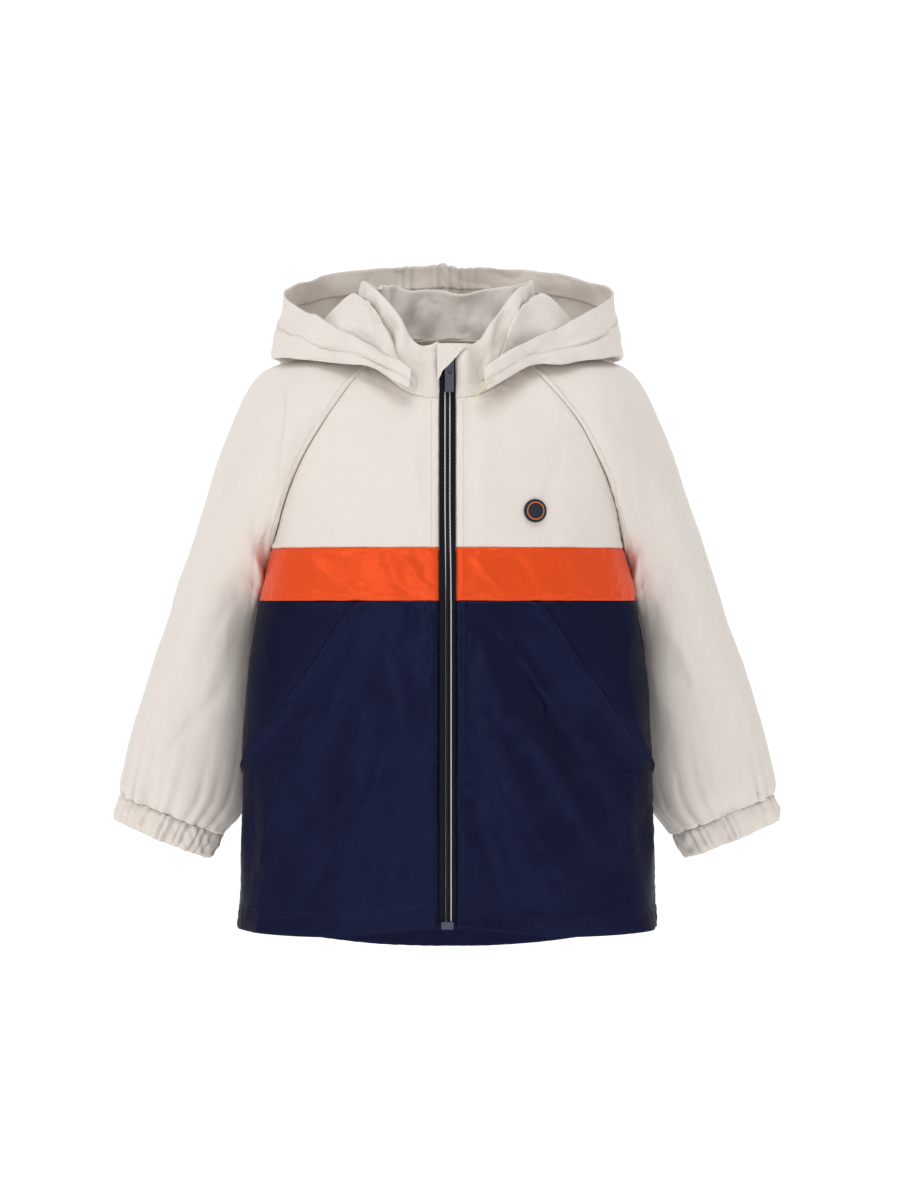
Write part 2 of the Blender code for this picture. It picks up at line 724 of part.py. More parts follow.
def shared_normals(pieces):
    """Gives each grid point's normal, averaged over the pieces that meet there.

    Quads that face more than a right angle away from the piece's own are left out.
    """
    everyone, own = {}, []
    for piece in pieces:
        faces = face_normals(piece.grid, piece.ring, piece.flip)
        mine = np.zeros_like(piece.grid)
        for face, corners in corners_of(piece):
            for place in corners:
                mine[place] += faces[face]
                key = tuple(np.round(piece.grid[place] * 1e5).astype(int))
                everyone.setdefault(key, []).append(faces[face])
        own.append(mine)
    found = []
    for piece, mine in zip(pieces, own):
        normals = np.zeros_like(mine)
        for place in np.ndindex(mine.shape[:2]):
            met = np.array(everyone[tuple(np.round(piece.grid[place] * 1e5).astype(int))])
            normals[place] = met[met @ mine[place] > 0].sum(axis=0)
        found.append(normals / np.linalg.norm(normals, axis=2, keepdims=True))
    return found


def pulled_in(piece):
    """Gives the piece's grid with its sewn edges drawn back by half the seam's space."""
    grid = piece.grid.copy()
    pulls = {
        "bottom": ((0,), (1,)),
        "top": ((-1,), (-2,)),
        "first": ((slice(None), 0), (slice(None), 1)),
        "last": ((slice(None), -1), (slice(None), -2)),
    }
    for edge in piece.sewn.split():
        at, beside = pulls[edge]
        along = grid[beside] - grid[at]
        grid[at] += along / np.linalg.norm(along, axis=1, keepdims=True) * SEAM / 2
    return grid


def build_wall(piece, normals):
    """Builds one piece of cloth as a closed wall on the inner side of its grid."""
    outer = pulled_in(piece)
    inner = outer - piece.wall * normals
    bm = bmesh.new()
    rows, columns = outer.shape[:2]
    skins = [[[bm.verts.new(p) for p in row] for row in skin] for skin in (outer, inner)]
    last = columns if piece.ring else columns - 1
    for skin in skins:
        for i in range(rows - 1):
            for j in range(last):
                k = (j + 1) % columns
                bm.faces.new((skin[i][j], skin[i][k], skin[i + 1][k], skin[i + 1][j]))
    out, back = skins
    for i in (0, rows - 1):
        for j in range(last):
            k = (j + 1) % columns
            bm.faces.new((out[i][j], out[i][k], back[i][k], back[i][j]))
    if not piece.ring:
        for j in (0, columns - 1):
            for i in range(rows - 1):
                bm.faces.new((out[i][j], out[i + 1][j], back[i + 1][j], back[i][j]))
    return add_object(piece.name, bm, piece.finish)


def build_cloth(pieces):
    """Builds pieces that are sewn together, so that their walls meet without crossing."""
    for piece, normals in zip(pieces, shared_normals(pieces)):
        build_wall(piece, normals)


def both_sides(name, grid, finish, sewn, **more):
    """Gives a right-hand panel and its mirror image on the left."""
    swap = {"first": "last", "last": "first"}
    turned = " ".join(swap.get(edge, edge) for edge in sewn.split())
    return [
        Cloth(f"{name}_right", grid, finish, sewn=sewn, **more),
        Cloth(f"{name}_left", mirrored(grid), finish, sewn=turned, **more),
    ]


def build_body():
    """Builds the fronts, the back and the sleeves."""
    arm = sleeve()
    build_cloth(
        [
            *both_sides("front_yoke", front_yoke(), BEIGE, "bottom last"),
            *both_sides("front_band", front_band(), ORANGE, "bottom top last"),
            *both_sides("front_lower", front_lower(), NAVY, "top last"),
            *both_sides("pocket_side", pocket_side(), NAVY, "top first last"),
            Cloth("back_yoke", back_yoke(), BEIGE, sewn="bottom first last"),
            Cloth("back_band", back_band(), ORANGE, sewn="bottom top first last"),
            Cloth("back_lower", back_lower(), NAVY, sewn="top first last"),
            Cloth("sleeve_right", arm, BEIGE, ring=True, flip=True, sewn="bottom top"),
            Cloth("sleeve_left", arm * (-1, 1, 1), BEIGE, ring=True, sewn="bottom top"),
        ]
    )


def build_cuffs():
    """Builds the two gathered cuffs."""
    grid = cuff()
    build_cloth([Cloth("cuff_right", grid, BEIGE, CUFF_WALL, ring=True, flip=True)])
    build_cloth([Cloth("cuff_left", grid * (-1, 1, 1), BEIGE, CUFF_WALL, ring=True)])


def build_collar_and_hood():
    """Builds the collar, and the three panels and the brim of the hood thrown back over it."""
    build_cloth([Cloth("collar", collar(), BEIGE, COLLAR_WALL)])
    side = np.linspace(HOOD_END, HOOD_SEAM, 13)
    middle = np.linspace(HOOD_SEAM, 360.0 - HOOD_SEAM, 7)
    brim = np.concatenate([side, middle[1:-1], 360.0 - side[::-1]])
    build_cloth(
        [
            Cloth("hood_side_right", hood_panel(side), BEIGE, HOOD_WALL, sewn="last top"),
            Cloth("hood_center", hood_panel(middle), BEIGE, HOOD_WALL, sewn="first last top"),
            Cloth("hood_side_left", hood_panel(360.0 - side[::-1]), BEIGE, HOOD_WALL, sewn="first top"),
            Cloth("hood_brim", hood_brim(brim), BEIGE, HOOD_WALL, sewn="bottom"),
        ]
    )


def zip_line(heights):
    """Gives the front edge of the coat beside the zip, (y, z), at each height."""
    low = np.linspace(FRONT_HEM, BAND_TOP, 12)[:-1]
    body = [body_point(zip_turn(z), z)[0] for z in low]
    edge = collar()[:, 0]
    line = np.array([*body, *spaced(front_line(), YOKE_ROWS), *edge[1:]])
    return np.stack([np.interp(heights, line[:, 2], line[:, 1]), heights], axis=-1)


def strip(line, x, out):
    """Gives a grid of columns at each x along a (y, z) line, moved out of the coat by `out`."""
    out = np.broadcast_to(out, len(x))
    return np.array([[(a, y - o, z) for a, o in zip(x, out)] for y, z in line])


def zip_heights(low, top):
    """Gives the heights of a zip strip's rows, with those where the front's panels bend."""
    yoke = spaced(front_line(), YOKE_ROWS)[:, 2]
    body = np.linspace(FRONT_HEM, BAND_TOP, 12)
    marks = np.concatenate([body, yoke[1:], collar()[1:, 0, 2]])
    return np.array([low, *marks[(marks > low + WALL) & (marks < top - WALL)], top])


def build_zip():
    """Builds the zip's two tapes, its closed coil and the box at its foot."""
    tape = zip_line(zip_heights(BOX_TOP + SEAM, COLLAR_TOPS[0] - SEAM))
    coil = zip_line(zip_heights(BOX_TOP + SEAM, COIL_TOP))
    edges = (TAPE_EDGE, ZIP_HALF - CLEAR - SEAM / 2)
    ridge = (-COIL_HALF, -COIL_HALF / 2, COIL_HALF / 2, COIL_HALF)
    build_cloth([Cloth("zip_tape_right", strip(tape, edges, -2 * CLEAR), TAPE, TRIM_WALL)])
    build_cloth([Cloth("zip_tape_left", mirrored(strip(tape, edges, -2 * CLEAR)), TAPE, TRIM_WALL)])
    humped = strip(coil, ridge, (0.0, CLEAR, CLEAR, 0.0))
    build_cloth([Cloth("zip_coil", humped, COIL, TRIM_WALL)])
    y = zip_line([BOX_LOW])[0, 0]
    box = Lumps((-BOX_HALF, BOX_HALF), (y - SLIDER_THICK, y + WALL), (BOX_LOW, BOX_TOP))
    build_lumps("zip_box", box, {(0, 0, 0)}, METAL)


class Lumps(NamedTuple):
    """The planes, along each direction, that cut a hard piece into blocks."""

    x: tuple
    y: tuple
    z: tuple


def build_lumps(name, planes, filled, finish, origin=(0.0, 0.0, 0.0)):
    """Builds one closed body from the filled blocks between the planes."""
    bm = bmesh.new()
    corners = {}

    def corner(place):
        if place not in corners:
            spot = [planes[k][place[k]] - origin[k] for k in range(3)]
            corners[place] = bm.verts.new(spot)
        return corners[place]

    for block in sorted(filled):
        for axis in range(3):
            one, two = (axis + 1) % 3, (axis + 2) % 3
            for side in (0, 1):
                beside = list(block)
                beside[axis] += 1 if side else -1
                if tuple(beside) in filled:
                    continue
                loop = []
                for a, b in ((0, 0), (1, 0), (1, 1), (0, 1)):
                    place = list(block)
                    place[axis] += side
                    place[one] += a
                    place[two] += b
                    loop.append(corner(tuple(place)))
                bm.faces.new(loop if side else loop[::-1])
    thing = add_object(name, bm, finish)
    thing.location = origin
    return thing


def build_slider():
    """Builds the zip's slider with its bridge, and the pull tab that swings in the bridge."""
    face = zip_line([HINGE_Z])[0, 0]
    front = face - SLIDER_THICK
    half = BRIDGE_WINDOW / 2
    slider = Lumps(
        (SLIDER_X - TAB_HALF, SLIDER_X - BRIDGE_HALF, SLIDER_X + BRIDGE_HALF, SLIDER_X + TAB_HALF),
        (front - BRIDGE_WINDOW - BRIDGE_BAR, front - BRIDGE_WINDOW, front, face),
        (
            SLIDER_LOW,
            HINGE_Z - half - BRIDGE_BAR,
            HINGE_Z - half,
            HINGE_Z + half,
            HINGE_Z + half + BRIDGE_BAR,
            SLIDER_TOP,
        ),
    )
    plate = {(i, 2, k) for i in range(3) for k in range(5)}
    bridge = {(1, 1, 1), (1, 1, 3), (1, 0, 1), (1, 0, 2), (1, 0, 3)}
    build_lumps("zip_slider", slider, plate | bridge, METAL)

    hinge = (SLIDER_X, front - BRIDGE_WINDOW / 2, HINGE_Z)
    top = HINGE_Z + TAB_BAR / 2
    tab = Lumps(
        tuple(SLIDER_X + x for x in (-TAB_HALF, -TAB_SLOT_HALF, TAB_SLOT_HALF, TAB_HALF)),
        (hinge[1] - TAB_THICK / 2, hinge[1] + TAB_THICK / 2),
        (top - TAB_LONG, top - TAB_BAR - TAB_SLOT, top - TAB_BAR, top),
    )
    filled = {(i, 0, k) for i in range(3) for k in range(3)} - {(1, 0, 1)}
    build_lumps("pull_tab", tab, filled, METAL, hinge)


def build_guard():
    """Builds the chin guard in front of the zip's top, standing clear of the slider."""
    rows = []
    for row in CHIN_GUARD:
        y = zip_line([row.z])[0, 0]
        columns = np.linspace(row.left, row.right, 4)
        rows.append([(x, y - GUARD_OUT + 8.0 * max(x, 0.0) ** 2, row.z) for x in columns])
    build_cloth([Cloth("chin_guard", np.array(rows), BEIGE, TRIM_WALL)])


def build_neck_tape():
    """Builds the tape over the back neck seam, on the inner face of the back yoke."""
    yoke = back_yoke()
    normals = shared_normals([Cloth("", yoke, BEIGE)])[0]
    inside = (yoke - normals * (WALL + 2 * CLEAR))[:, 2:-2]
    lower = inside[-1] * (1 - NECK_TAPE) + inside[-2] * NECK_TAPE
    build_cloth([Cloth("neck_tape", np.array([lower, inside[-1]]), BEIGE, TRIM_WALL)])


def build_badge():
    """Builds the round badge on the right front yoke, with the raised ring on it."""
    grid = front_yoke()
    columns = grid.shape[1]
    points = [Vector(p) for p in grid.reshape(-1, 3)]
    quads = [
        (i, i + 1, i + columns + 1, i + columns)
        for i in range(len(points) - columns)
        if (i + 1) % columns
    ]
    yoke = BVHTree.FromPolygons(points, quads)
    start = Vector((BADGE_CENTRE[0], -1.0, BADGE_CENTRE[1]))
    centre, normal = yoke.ray_cast(start, Vector((0, 1, 0)))[:2]
    normal = -normal if normal.y > 0 else normal
    right = Vector((-normal.y, normal.x, 0.0)).normalized()
    turns = np.radians(np.arange(24) * 15.0)

    def circle(radius, out):
        """Gives a circle round the badge's middle, laid on the yoke and moved out."""
        ring = []
        for turn in turns:
            aside = right * math.cos(turn) + right.cross(normal) * -math.sin(turn)
            spot = centre + aside * radius + normal * 0.05
            ring.append(yoke.ray_cast(spot, -normal)[0] + normal * out)
        return np.array(ring)

    low, top = CLEAR, CLEAR + TRIM_WALL
    rows = [circle(BADGE_RADIUS * r, top) for r in (0.05, 0.55, 1.0)]
    rows += [circle(BADGE_RADIUS * r, low) for r in (1.0, 0.55, 0.05)]
    build_tube("badge", rows, NAVY)
    low, top = top + CLEAR, top + CLEAR + TRIM_WALL / 2
    radii = (RING_RADIUS - RING_WIDE / 2, RING_RADIUS + RING_WIDE / 2)
    rows = [circle(radii[0], top), circle(radii[1], top), circle(radii[1], low), circle(radii[0], low)]
    build_tube("badge_ring", [*rows, rows[0]], COPPER)


def build_tube(name, rows, finish):
    """Builds a body from closed rows of points; without a first row at its end it is capped."""
    bm = bmesh.new()
    looped = rows[0] is rows[-1]
    rings = [[bm.verts.new(p) for p in row] for row in (rows[:-1] if looped else rows)]
    pairs = list(zip(rings, rings[1:]))
    if looped:
        pairs.append((rings[-1], rings[0]))
    else:
        bm.faces.new(rings[0])
        bm.faces.new(rings[-1])
    for one, two in pairs:
        for j in range(len(one)):
            k = (j + 1) % len(one)
            bm.faces.new((one[j], one[k], two[k], two[j]))
    return add_object(name, bm, finish)


def build_zip_end():
    """Builds the end of the hood's zip, which stands out between the collar and the hood."""
    width = np.array((0.0012, 0.0, 0.0010))
    grid = np.array([[p - width, p + width] for p in np.array(ZIP_END)])
    build_cloth([Cloth("hood_zip_end", grid, CREAM, TRIM_WALL)])


def main():
    """Clears the file's objects and builds the parka."""
    for thing in list(bpy.data.objects):
        bpy.data.objects.remove(thing)
    build_body()
    build_cuffs()
    build_collar_and_hood()
    build_zip()
    build_slider()
    build_guard()
    build_neck_tape()
    build_badge()
    build_zip_end()


main()
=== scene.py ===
"""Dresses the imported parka: cloth panels with their folds, seams, stitches, zip, badge and studio."""

import logging
import math
from dataclasses import dataclass, field
from enum import Enum
from typing import NamedTuple

import bmesh
import bpy
import numpy as np
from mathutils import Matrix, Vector


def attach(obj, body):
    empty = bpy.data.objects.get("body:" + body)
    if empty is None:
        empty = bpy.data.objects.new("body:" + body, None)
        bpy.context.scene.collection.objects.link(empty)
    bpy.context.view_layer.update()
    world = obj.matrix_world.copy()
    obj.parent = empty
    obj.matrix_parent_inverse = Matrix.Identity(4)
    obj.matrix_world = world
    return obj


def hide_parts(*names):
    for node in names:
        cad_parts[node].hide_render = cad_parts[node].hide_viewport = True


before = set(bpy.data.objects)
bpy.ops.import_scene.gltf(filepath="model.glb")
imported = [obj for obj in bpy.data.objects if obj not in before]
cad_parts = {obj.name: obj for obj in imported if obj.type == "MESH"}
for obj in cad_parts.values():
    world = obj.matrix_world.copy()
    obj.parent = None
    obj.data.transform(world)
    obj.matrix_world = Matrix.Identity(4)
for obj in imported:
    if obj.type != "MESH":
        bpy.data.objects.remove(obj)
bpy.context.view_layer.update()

Array = np.ndarray
Spot = tuple[float, float, float]
LOG = logging.getLogger("parka")
COAT = "coat"
MM = 0.001
WAVES = 14  # waves in one noise pattern
WAVES_HIGH = 3.2  # how high that many waves mostly add up


# Curves, noise and folds


def glide(keys: Array, values: Array, at: Array) -> Array:
    """Reads a smooth curve through values at rising keys.

    Args:
        keys: rising places of the values.
        values: one value, vector or row per key.
        at: places to read.

    Returns:
        The curve at each place.
    """
    keys, values, at = np.asarray(keys, float), np.asarray(values, float), np.asarray(at, float)
    wide = values.reshape(len(keys), -1)
    steps = np.diff(keys)[:, None]
    slopes = np.diff(wide, axis=0) / steps
    inner = (slopes[:-1] * steps[1:] + slopes[1:] * steps[:-1]) / (steps[1:] + steps[:-1])
    tangents = np.vstack([slopes[:1], inner, slopes[-1:]])
    i = np.clip(np.searchsorted(keys, at, side="right") - 1, 0, len(keys) - 2)
    h = steps[i]
    t = ((at - keys[i])[:, None]) / h
    out = (
        (2 * t**3 - 3 * t**2 + 1) * wide[i]
        + (t**3 - 2 * t**2 + t) * h * tangents[i]
        + (3 * t**2 - 2 * t**3) * wide[i + 1]
        + (t**3 - t**2) * h * tangents[i + 1]
    )
    return out.reshape(at.shape + values.shape[1:])


def lengths(points: Array) -> Array:
    """Gives how far along its line each point lies, in metres."""
    steps = np.linalg.norm(np.diff(points, axis=0), axis=1)
    return np.concatenate([[0.0], np.cumsum(steps)])


def spaced(points: Array, count: int) -> Array:
    """Sets count + 1 points at equal steps on a smooth curve through the points."""
    points = np.asarray(points, float)
    keys = lengths(points)
    return glide(keys, points, np.linspace(0.0, keys[-1], count + 1))


def share_along(points: Array) -> Array:
    """Gives how far along its line each point lies, from 0 to 1."""
    far = lengths(points)
    return far / far[-1]


def smooth(low: float, high: float, value: Array) -> Array:
    """Gives 0 below low, 1 above high, and an S curve between."""
    t = np.clip((np.asarray(value, float) - low) / (high - low), 0.0, 1.0)
    return t * t * (3 - 2 * t)


def hill(away: Array, width: float) -> Array:
    """Gives a soft hump: 1 in its middle and next to nothing two widths away."""
    return np.exp(-((away / width) ** 2))


def unit(vectors: Array) -> Array:
    """Gives the vectors at a length of 1."""
    return vectors / np.maximum(np.linalg.norm(vectors, axis=-1, keepdims=True), 1e-12)


def ripple(points: Array, scale: float, seed: int, stretch: Spot = (1, 1, 1)) -> Array:
    """Gives even, soft noise in space, from about -1 to 1.

    Args:
        points: places, in metres.
        scale: distance between one swell and the next.
        seed: picks one pattern.
        stretch: lengthens the swells along each direction.

    Returns:
        The noise at each point.
    """
    rng = np.random.default_rng(seed)
    waves = unit(rng.normal(size=(WAVES, 3)))
    waves *= rng.uniform(0.6, 1.5, (WAVES, 1)) * 2 * math.pi / scale / np.array(stretch)
    phases = rng.uniform(0, 2 * math.pi, WAVES)
    total = np.zeros(points.shape[:-1])
    for wave, phase in zip(waves, phases):
        total += np.sin(points @ wave + phase)
    return total / WAVES_HIGH


def crinkle(points: Array, scale: float, seed: int, stretch: Spot = (1, 1, 1)) -> Array:
    """Gives thin raised ridges between flatter fields, as crisp nylon creases, from 0 to 1."""
    return (1.0 - np.clip(np.abs(ripple(points, scale, seed, stretch)), 0, 1)) ** 3


class Face(Enum):
    """The side of the coat that a crease lies on."""

    FRONT = -1
    BACK = 1
    ANY = 0


class Crease(NamedTuple):
    """A soft trough in the cloth, in millimetres; a negative depth is a ridge."""

    x0: float
    z0: float
    x1: float
    z1: float
    depth: float
    width: float
    face: Face = Face.FRONT


def crease_depth(points: Array, normals: Array, creases: tuple[Crease, ...]) -> Array:
    """Gives how deep the creases draw the cloth in at each point.

    Args:
        points: places on the cloth, in metres.
        normals: outward directions there.
        creases: the troughs and ridges.

    Returns:
        The depth at each point, in metres.
    """
    depth = np.zeros(points.shape[:-1])
    wobble = ripple(points, 30 * MM, 5)
    sway = 1.6 * MM  # keeps the creases from running dead straight
    flat = points[..., (0, 2)] + sway * np.stack([wobble, ripple(points, 26 * MM, 6)], axis=-1)
    for c in creases:
        start, along = np.array([c.x0, c.z0]) * MM, np.array([c.x1 - c.x0, c.z1 - c.z0]) * MM
        t = np.clip(((flat - start) @ along) / (along @ along), 0.0, 1.0)
        off = np.linalg.norm(flat - start - t[..., None] * along, axis=-1)
        fade = np.sin(math.pi * np.clip(t, 0.02, 0.98)) ** 0.6
        facing = smooth(-0.05, 0.35, normals[..., 1] * c.face.value) if c.face.value else 1.0
        width = c.width * MM * (0.8 + 0.25 * wobble)
        depth += c.depth * MM * hill(off, width) * fade * facing
    return depth


# The cut of the coat: the same tables as its solids


class Side(Enum):
    """The side of the coat as seen from the front."""

    LEFT = -1
    RIGHT = 1


class Ring(NamedTuple):
    """One level of the body: half its width, and how far it reaches forward and back."""

    z: float
    half_width: float
    front: float
    back: float


class Level(NamedTuple):
    """A point of an upright line or seam."""

    z: float
    x: float
    y: float


class ArmRing(NamedTuple):
    """An oval across the right sleeve, by its highest and lowest points, its middle and depth."""

    top_x: float
    top_z: float
    low_x: float
    low_y: float
    low_z: float
    mid_y: float
    half_depth: float
    pinch: float


class Trough(NamedTuple):
    """A long soft fold down the body, by turn and height."""

    top_turn: float
    top_z: float
    low_turn: float
    low_z: float
    depth: float
    width: float


class ArmFold(NamedTuple):
    """A soft fold across the sleeve."""

    z: float
    turn: float
    slant: float
    depth: float
    height: float
    width: float


@dataclass(frozen=True)
class Cut:
    """The coat's form without its small folds, which its solids share."""

    body: tuple[Ring, ...] = (
        Ring(-0.480, 0.1672, 0.0985, 0.0990),
        Ring(-0.449, 0.1668, 0.0980, 0.0985),
        Ring(-0.396, 0.1650, 0.0975, 0.0980),
        Ring(-0.316, 0.1634, 0.0965, 0.0970),
        Ring(-0.268, 0.1612, 0.0950, 0.0960),
        Ring(-0.230, 0.1575, 0.0935, 0.0945),
        Ring(-0.1885, 0.1505, 0.0900, 0.0915),
        Ring(-0.147, 0.1405, 0.0860, 0.0890),
    )
    troughs: tuple[Trough, ...] = (
        Trough(20.0, -0.225, 50.0, -0.445, 0.0032, 9.0),
        Trough(58.0, -0.300, 76.0, -0.448, 0.0026, 8.0),
        Trough(112.0, -0.215, 128.0, -0.430, 0.0034, 9.0),
        Trough(150.0, -0.240, 168.0, -0.440, 0.0030, 9.0),
    )
    squareness: float = 2.3
    band_top: float = -0.147
    band_bottom: float = -0.1885
    front_hem: float = -0.449
    zip_hem: float = -0.4405
    back_drop: float = 0.026
    neck_wide: float = 0.068
    neck_front: float = 0.062
    neck_back: float = 0.058
    zip_half: float = 0.0070
    front_neck_end: float = 64.0
    back_neck_end: float = 130.0
    yoke_rows: int = 8
    neck_turns: tuple[float, ...] = (0.0, 20.0, 40.0, 64.0, 90.0, 130.0, 180.0)
    neck_heights: tuple[float, ...] = (-0.0310, -0.0280, -0.0165, 0.0035, 0.0160, 0.0225, 0.0255)
    raglan_left: tuple[Level, ...] = (
        Level(-0.126, 0.1330, -0.0250),
        Level(-0.105, 0.1262, -0.0420),
        Level(-0.072, 0.1110, -0.0560),
        Level(-0.0406, 0.0915, -0.0575),
        Level(-0.018, 0.0757, -0.0490),
    )
    raglan_right: tuple[Level, ...] = (
        Level(-0.126, 0.1362, -0.0250),
        Level(-0.105, 0.1302, -0.0420),
        Level(-0.072, 0.1155, -0.0560),
        Level(-0.0406, 0.0975, -0.0575),
        Level(-0.018, 0.0780, -0.0490),
    )
    back_raglan: tuple[Level, ...] = (
        Level(-0.122, 0.1345, 0.0330),
        Level(-0.092, 0.1235, 0.0580),
        Level(-0.056, 0.1060, 0.0740),
        Level(-0.022, 0.0850, 0.0755),
        Level(0.004, 0.0670, 0.0630),
    )
    front_levels: tuple[Level, ...] = (
        Level(-0.120, 0.0, -0.0850),
        Level(-0.085, 0.0, -0.0810),
        Level(-0.055, 0.0, -0.0730),
    )
    back_levels: tuple[Level, ...] = (
        Level(-0.115, 0.0, 0.0905),
        Level(-0.080, 0.0, 0.0900),
        Level(-0.045, 0.0, 0.0850),
        Level(-0.010, 0.0, 0.0745),
    )

    def trough_depth(self, turn: Array, z: Array) -> Array:
        """Gives how far the long folds draw the body in, at a turn and a height."""
        folded = np.where(turn > 180.0, 360.0 - turn, turn)
        depth = np.zeros_like(z)
        for fold in self.troughs:
            along = np.clip((z - fold.top_z) / (fold.low_z - fold.top_z), 0.0, 1.0)
            middle = fold.top_turn + (fold.low_turn - fold.top_turn) * along
            across = (folded - middle) / (fold.width * (0.6 + 0.6 * along))
            depth += fold.depth * np.sin(math.pi * along**0.8) * np.exp(-(across**2))
        return depth

    def body_point(self, turn: Array, z: Array) -> Array:
        """Gives points of the body's tube at turns in degrees from the front, and heights."""
        turn, z = np.broadcast_arrays(np.asarray(turn, float), np.asarray(z, float))
        rings = np.array(sorted(self.body))
        at = glide(rings[:, 0], rings[:, 1:], z.ravel()).reshape(z.shape + (3,))
        sine, cosine = np.sin(np.radians(turn)), np.cos(np.radians(turn))
        power = 2.0 / self.squareness
        x = at[..., 0] * np.sign(sine) * np.abs(sine) ** power
        depth = np.where(cosine > 0, at[..., 1], at[..., 2])
        y = -depth * np.sign(cosine) * np.abs(cosine) ** power
        kept = 1.0 - self.trough_depth(turn, z) / np.hypot(x, y)
        return np.stack([x * kept, y * kept, z], axis=-1)

    def zip_turn(self, z: float) -> float:
        """Gives the turn at which a front panel starts beside the zip tape."""
        rings = np.array(sorted(self.body))
        half_width = float(glide(rings[:, 0], rings[:, 1], [z])[0])
        return math.degrees(math.asin((self.zip_half / half_width) ** (self.squareness / 2)))

    def neck_point(self, turn: Array) -> Array:
        """Gives points of the neck seam at turns in degrees from the front."""
        turn = np.asarray(turn, float)
        folded = np.where(turn > 180.0, 360.0 - turn, turn)
        z = glide(self.neck_turns, self.neck_heights, folded.ravel()).reshape(turn.shape)
        cosine = np.cos(np.radians(turn))
        depth = np.where(cosine > 0, self.neck_front, self.neck_back)
        return np.stack([self.neck_wide * np.sin(np.radians(turn)), -depth * cosine, z], axis=-1)

    def neck_zip_turn(self) -> float:
        """Gives the turn of the neck seam beside the zip tape."""
        return math.degrees(math.asin(self.zip_half / self.neck_wide))

    def front_line(self) -> Array:
        """Gives points of the upper front beside the zip, from the band up to the neck."""
        base = self.body_point(self.zip_turn(self.band_top), self.band_top)
        top = self.neck_point(self.neck_zip_turn())
        return np.array([base, *[(self.zip_half, p.y, p.z) for p in self.front_levels], top])

    def front_raglan(self, side: Side) -> tuple[Level, ...]:
        """Gives the front raglan seam's points on one side, as if on the right."""
        return self.raglan_left if side is Side.LEFT else self.raglan_right

    def raglan(self, rows: tuple[Level, ...], neck_end: float) -> Array:
        """Gives a raglan seam of the right side, from the underarm up to the neck."""
        base = self.body_point(90.0, self.band_top)
        line = [base, *[(p.x, p.y, p.z) for p in rows], self.neck_point(neck_end)]
        return spaced(line, self.yoke_rows)

    def zip_line(self, heights: Array) -> Array:
        """Gives the coat's front edge beside the zip, as (y, z) at each height."""
        low = np.linspace(self.front_hem, self.band_top, 12)[:-1]
        body = [self.body_point(self.zip_turn(z), z) for z in low]
        neck = self.neck_point(self.neck_zip_turn())
        collar = [(neck[0], neck[1] * 0.985, -0.010), (neck[0], neck[1] * 0.965, 0.0125)]
        line = np.array([*body, *spaced(self.front_line(), self.yoke_rows), *collar])
        return np.stack([np.interp(heights, line[:, 2], line[:, 1]), heights], axis=-1)


CUT = Cut()


def shape_along(edge: Array) -> Array:
    """Gives how an edge runs from its first end, 0, to its last, 1, in each direction."""
    span = edge[-1] - edge[0]
    even = share_along(edge)[:, None] * np.ones(3)
    flat = np.abs(span) < 1.5 * MM
    return np.where(flat, even, (edge - edge[0]) / np.where(flat, 1.0, span))


def panel_between(bottom: Array, top: Array, first: Array, last: Array) -> Array:
    """Fills a panel with rows from its first upright edge to its last, shaped like its ends."""
    low, high = shape_along(bottom), shape_along(top)
    rows = []
    for share, start, end in zip(share_along(last), first, last):
        wrap = (1.0 - share) ** 4  # the bottom's shape fades out fast on the way up
        rows.append(start + (end - start) * (wrap * low + (1.0 - wrap) * high))
    return np.array(rows)


def mirrored(grid: Array) -> Array:
    """Gives the same points on the other side, with their columns turned round."""
    return grid[:, ::-1] * (-1, 1, 1)


def refined(grid: Array, rows: int, columns: int, ring: bool = False) -> Array:
    """Gives a grid with more points on the same smooth surface.

    Args:
        grid: rows by columns of points.
        rows: steps to make of the rows.
        columns: steps to make of the columns.
        ring: the columns close on themselves.

    Returns:
        The finer grid.
    """
    tall = glide(np.arange(len(grid)), grid, np.linspace(0, len(grid) - 1, rows + 1))
    if not ring:
        at = np.linspace(0, grid.shape[1] - 1, columns + 1)
        return glide(np.arange(grid.shape[1]), tall.transpose(1, 0, 2), at).transpose(1, 0, 2)
    count = grid.shape[1]
    wide = np.concatenate([tall[:, -3:], tall, tall[:, :4]], axis=1)
    at = np.linspace(0, count, columns + 1)[:-1]
    return glide(np.arange(wide.shape[1]) - 3, wide.transpose(1, 0, 2), at).transpose(1, 0, 2)


def grid_normals(grid: Array, ring: bool, flip: bool) -> Array:
    """Gives the outward direction at each point of a grid."""
    if ring:
        across = np.roll(grid, -1, axis=1) - np.roll(grid, 1, axis=1)
    else:
        across = np.gradient(grid, axis=1)
    normal = np.cross(across, np.gradient(grid, axis=0)) * (-1 if flip else 1)
    return unit(normal)


def corners(grid: Array) -> Array:
    """Gives the four corners of each face of a grid of indices or values, in order."""
    return np.stack([grid[:-1, :-1], grid[:-1, 1:], grid[1:, 1:], grid[1:, :-1]], axis=2)


def edge_first(grid: Array, edge: str, back: bool = False) -> Array:
    """Turns a grid so that its named edge is its first row, or turns it back."""
    swapped = edge in ("first", "last")
    if swapped and not back:
        grid = grid.swapaxes(0, 1)
    if edge in ("top", "last"):
        grid = grid[::-1]
    return grid.swapaxes(0, 1) if swapped and back else grid


# Finishes


def linear(code: str) -> tuple[float, float, float, float]:
    """Turns an sRGB hex colour into linear red, green, blue and alpha."""
    parts = [int(code[i : i + 2], 16) / 255 for i in (1, 3, 5)]
    red, green, blue = [p / 12.92 if p <= 0.04045 else ((p + 0.055) / 1.055) ** 2.4 for p in parts]
    return red, green, blue, 1.0


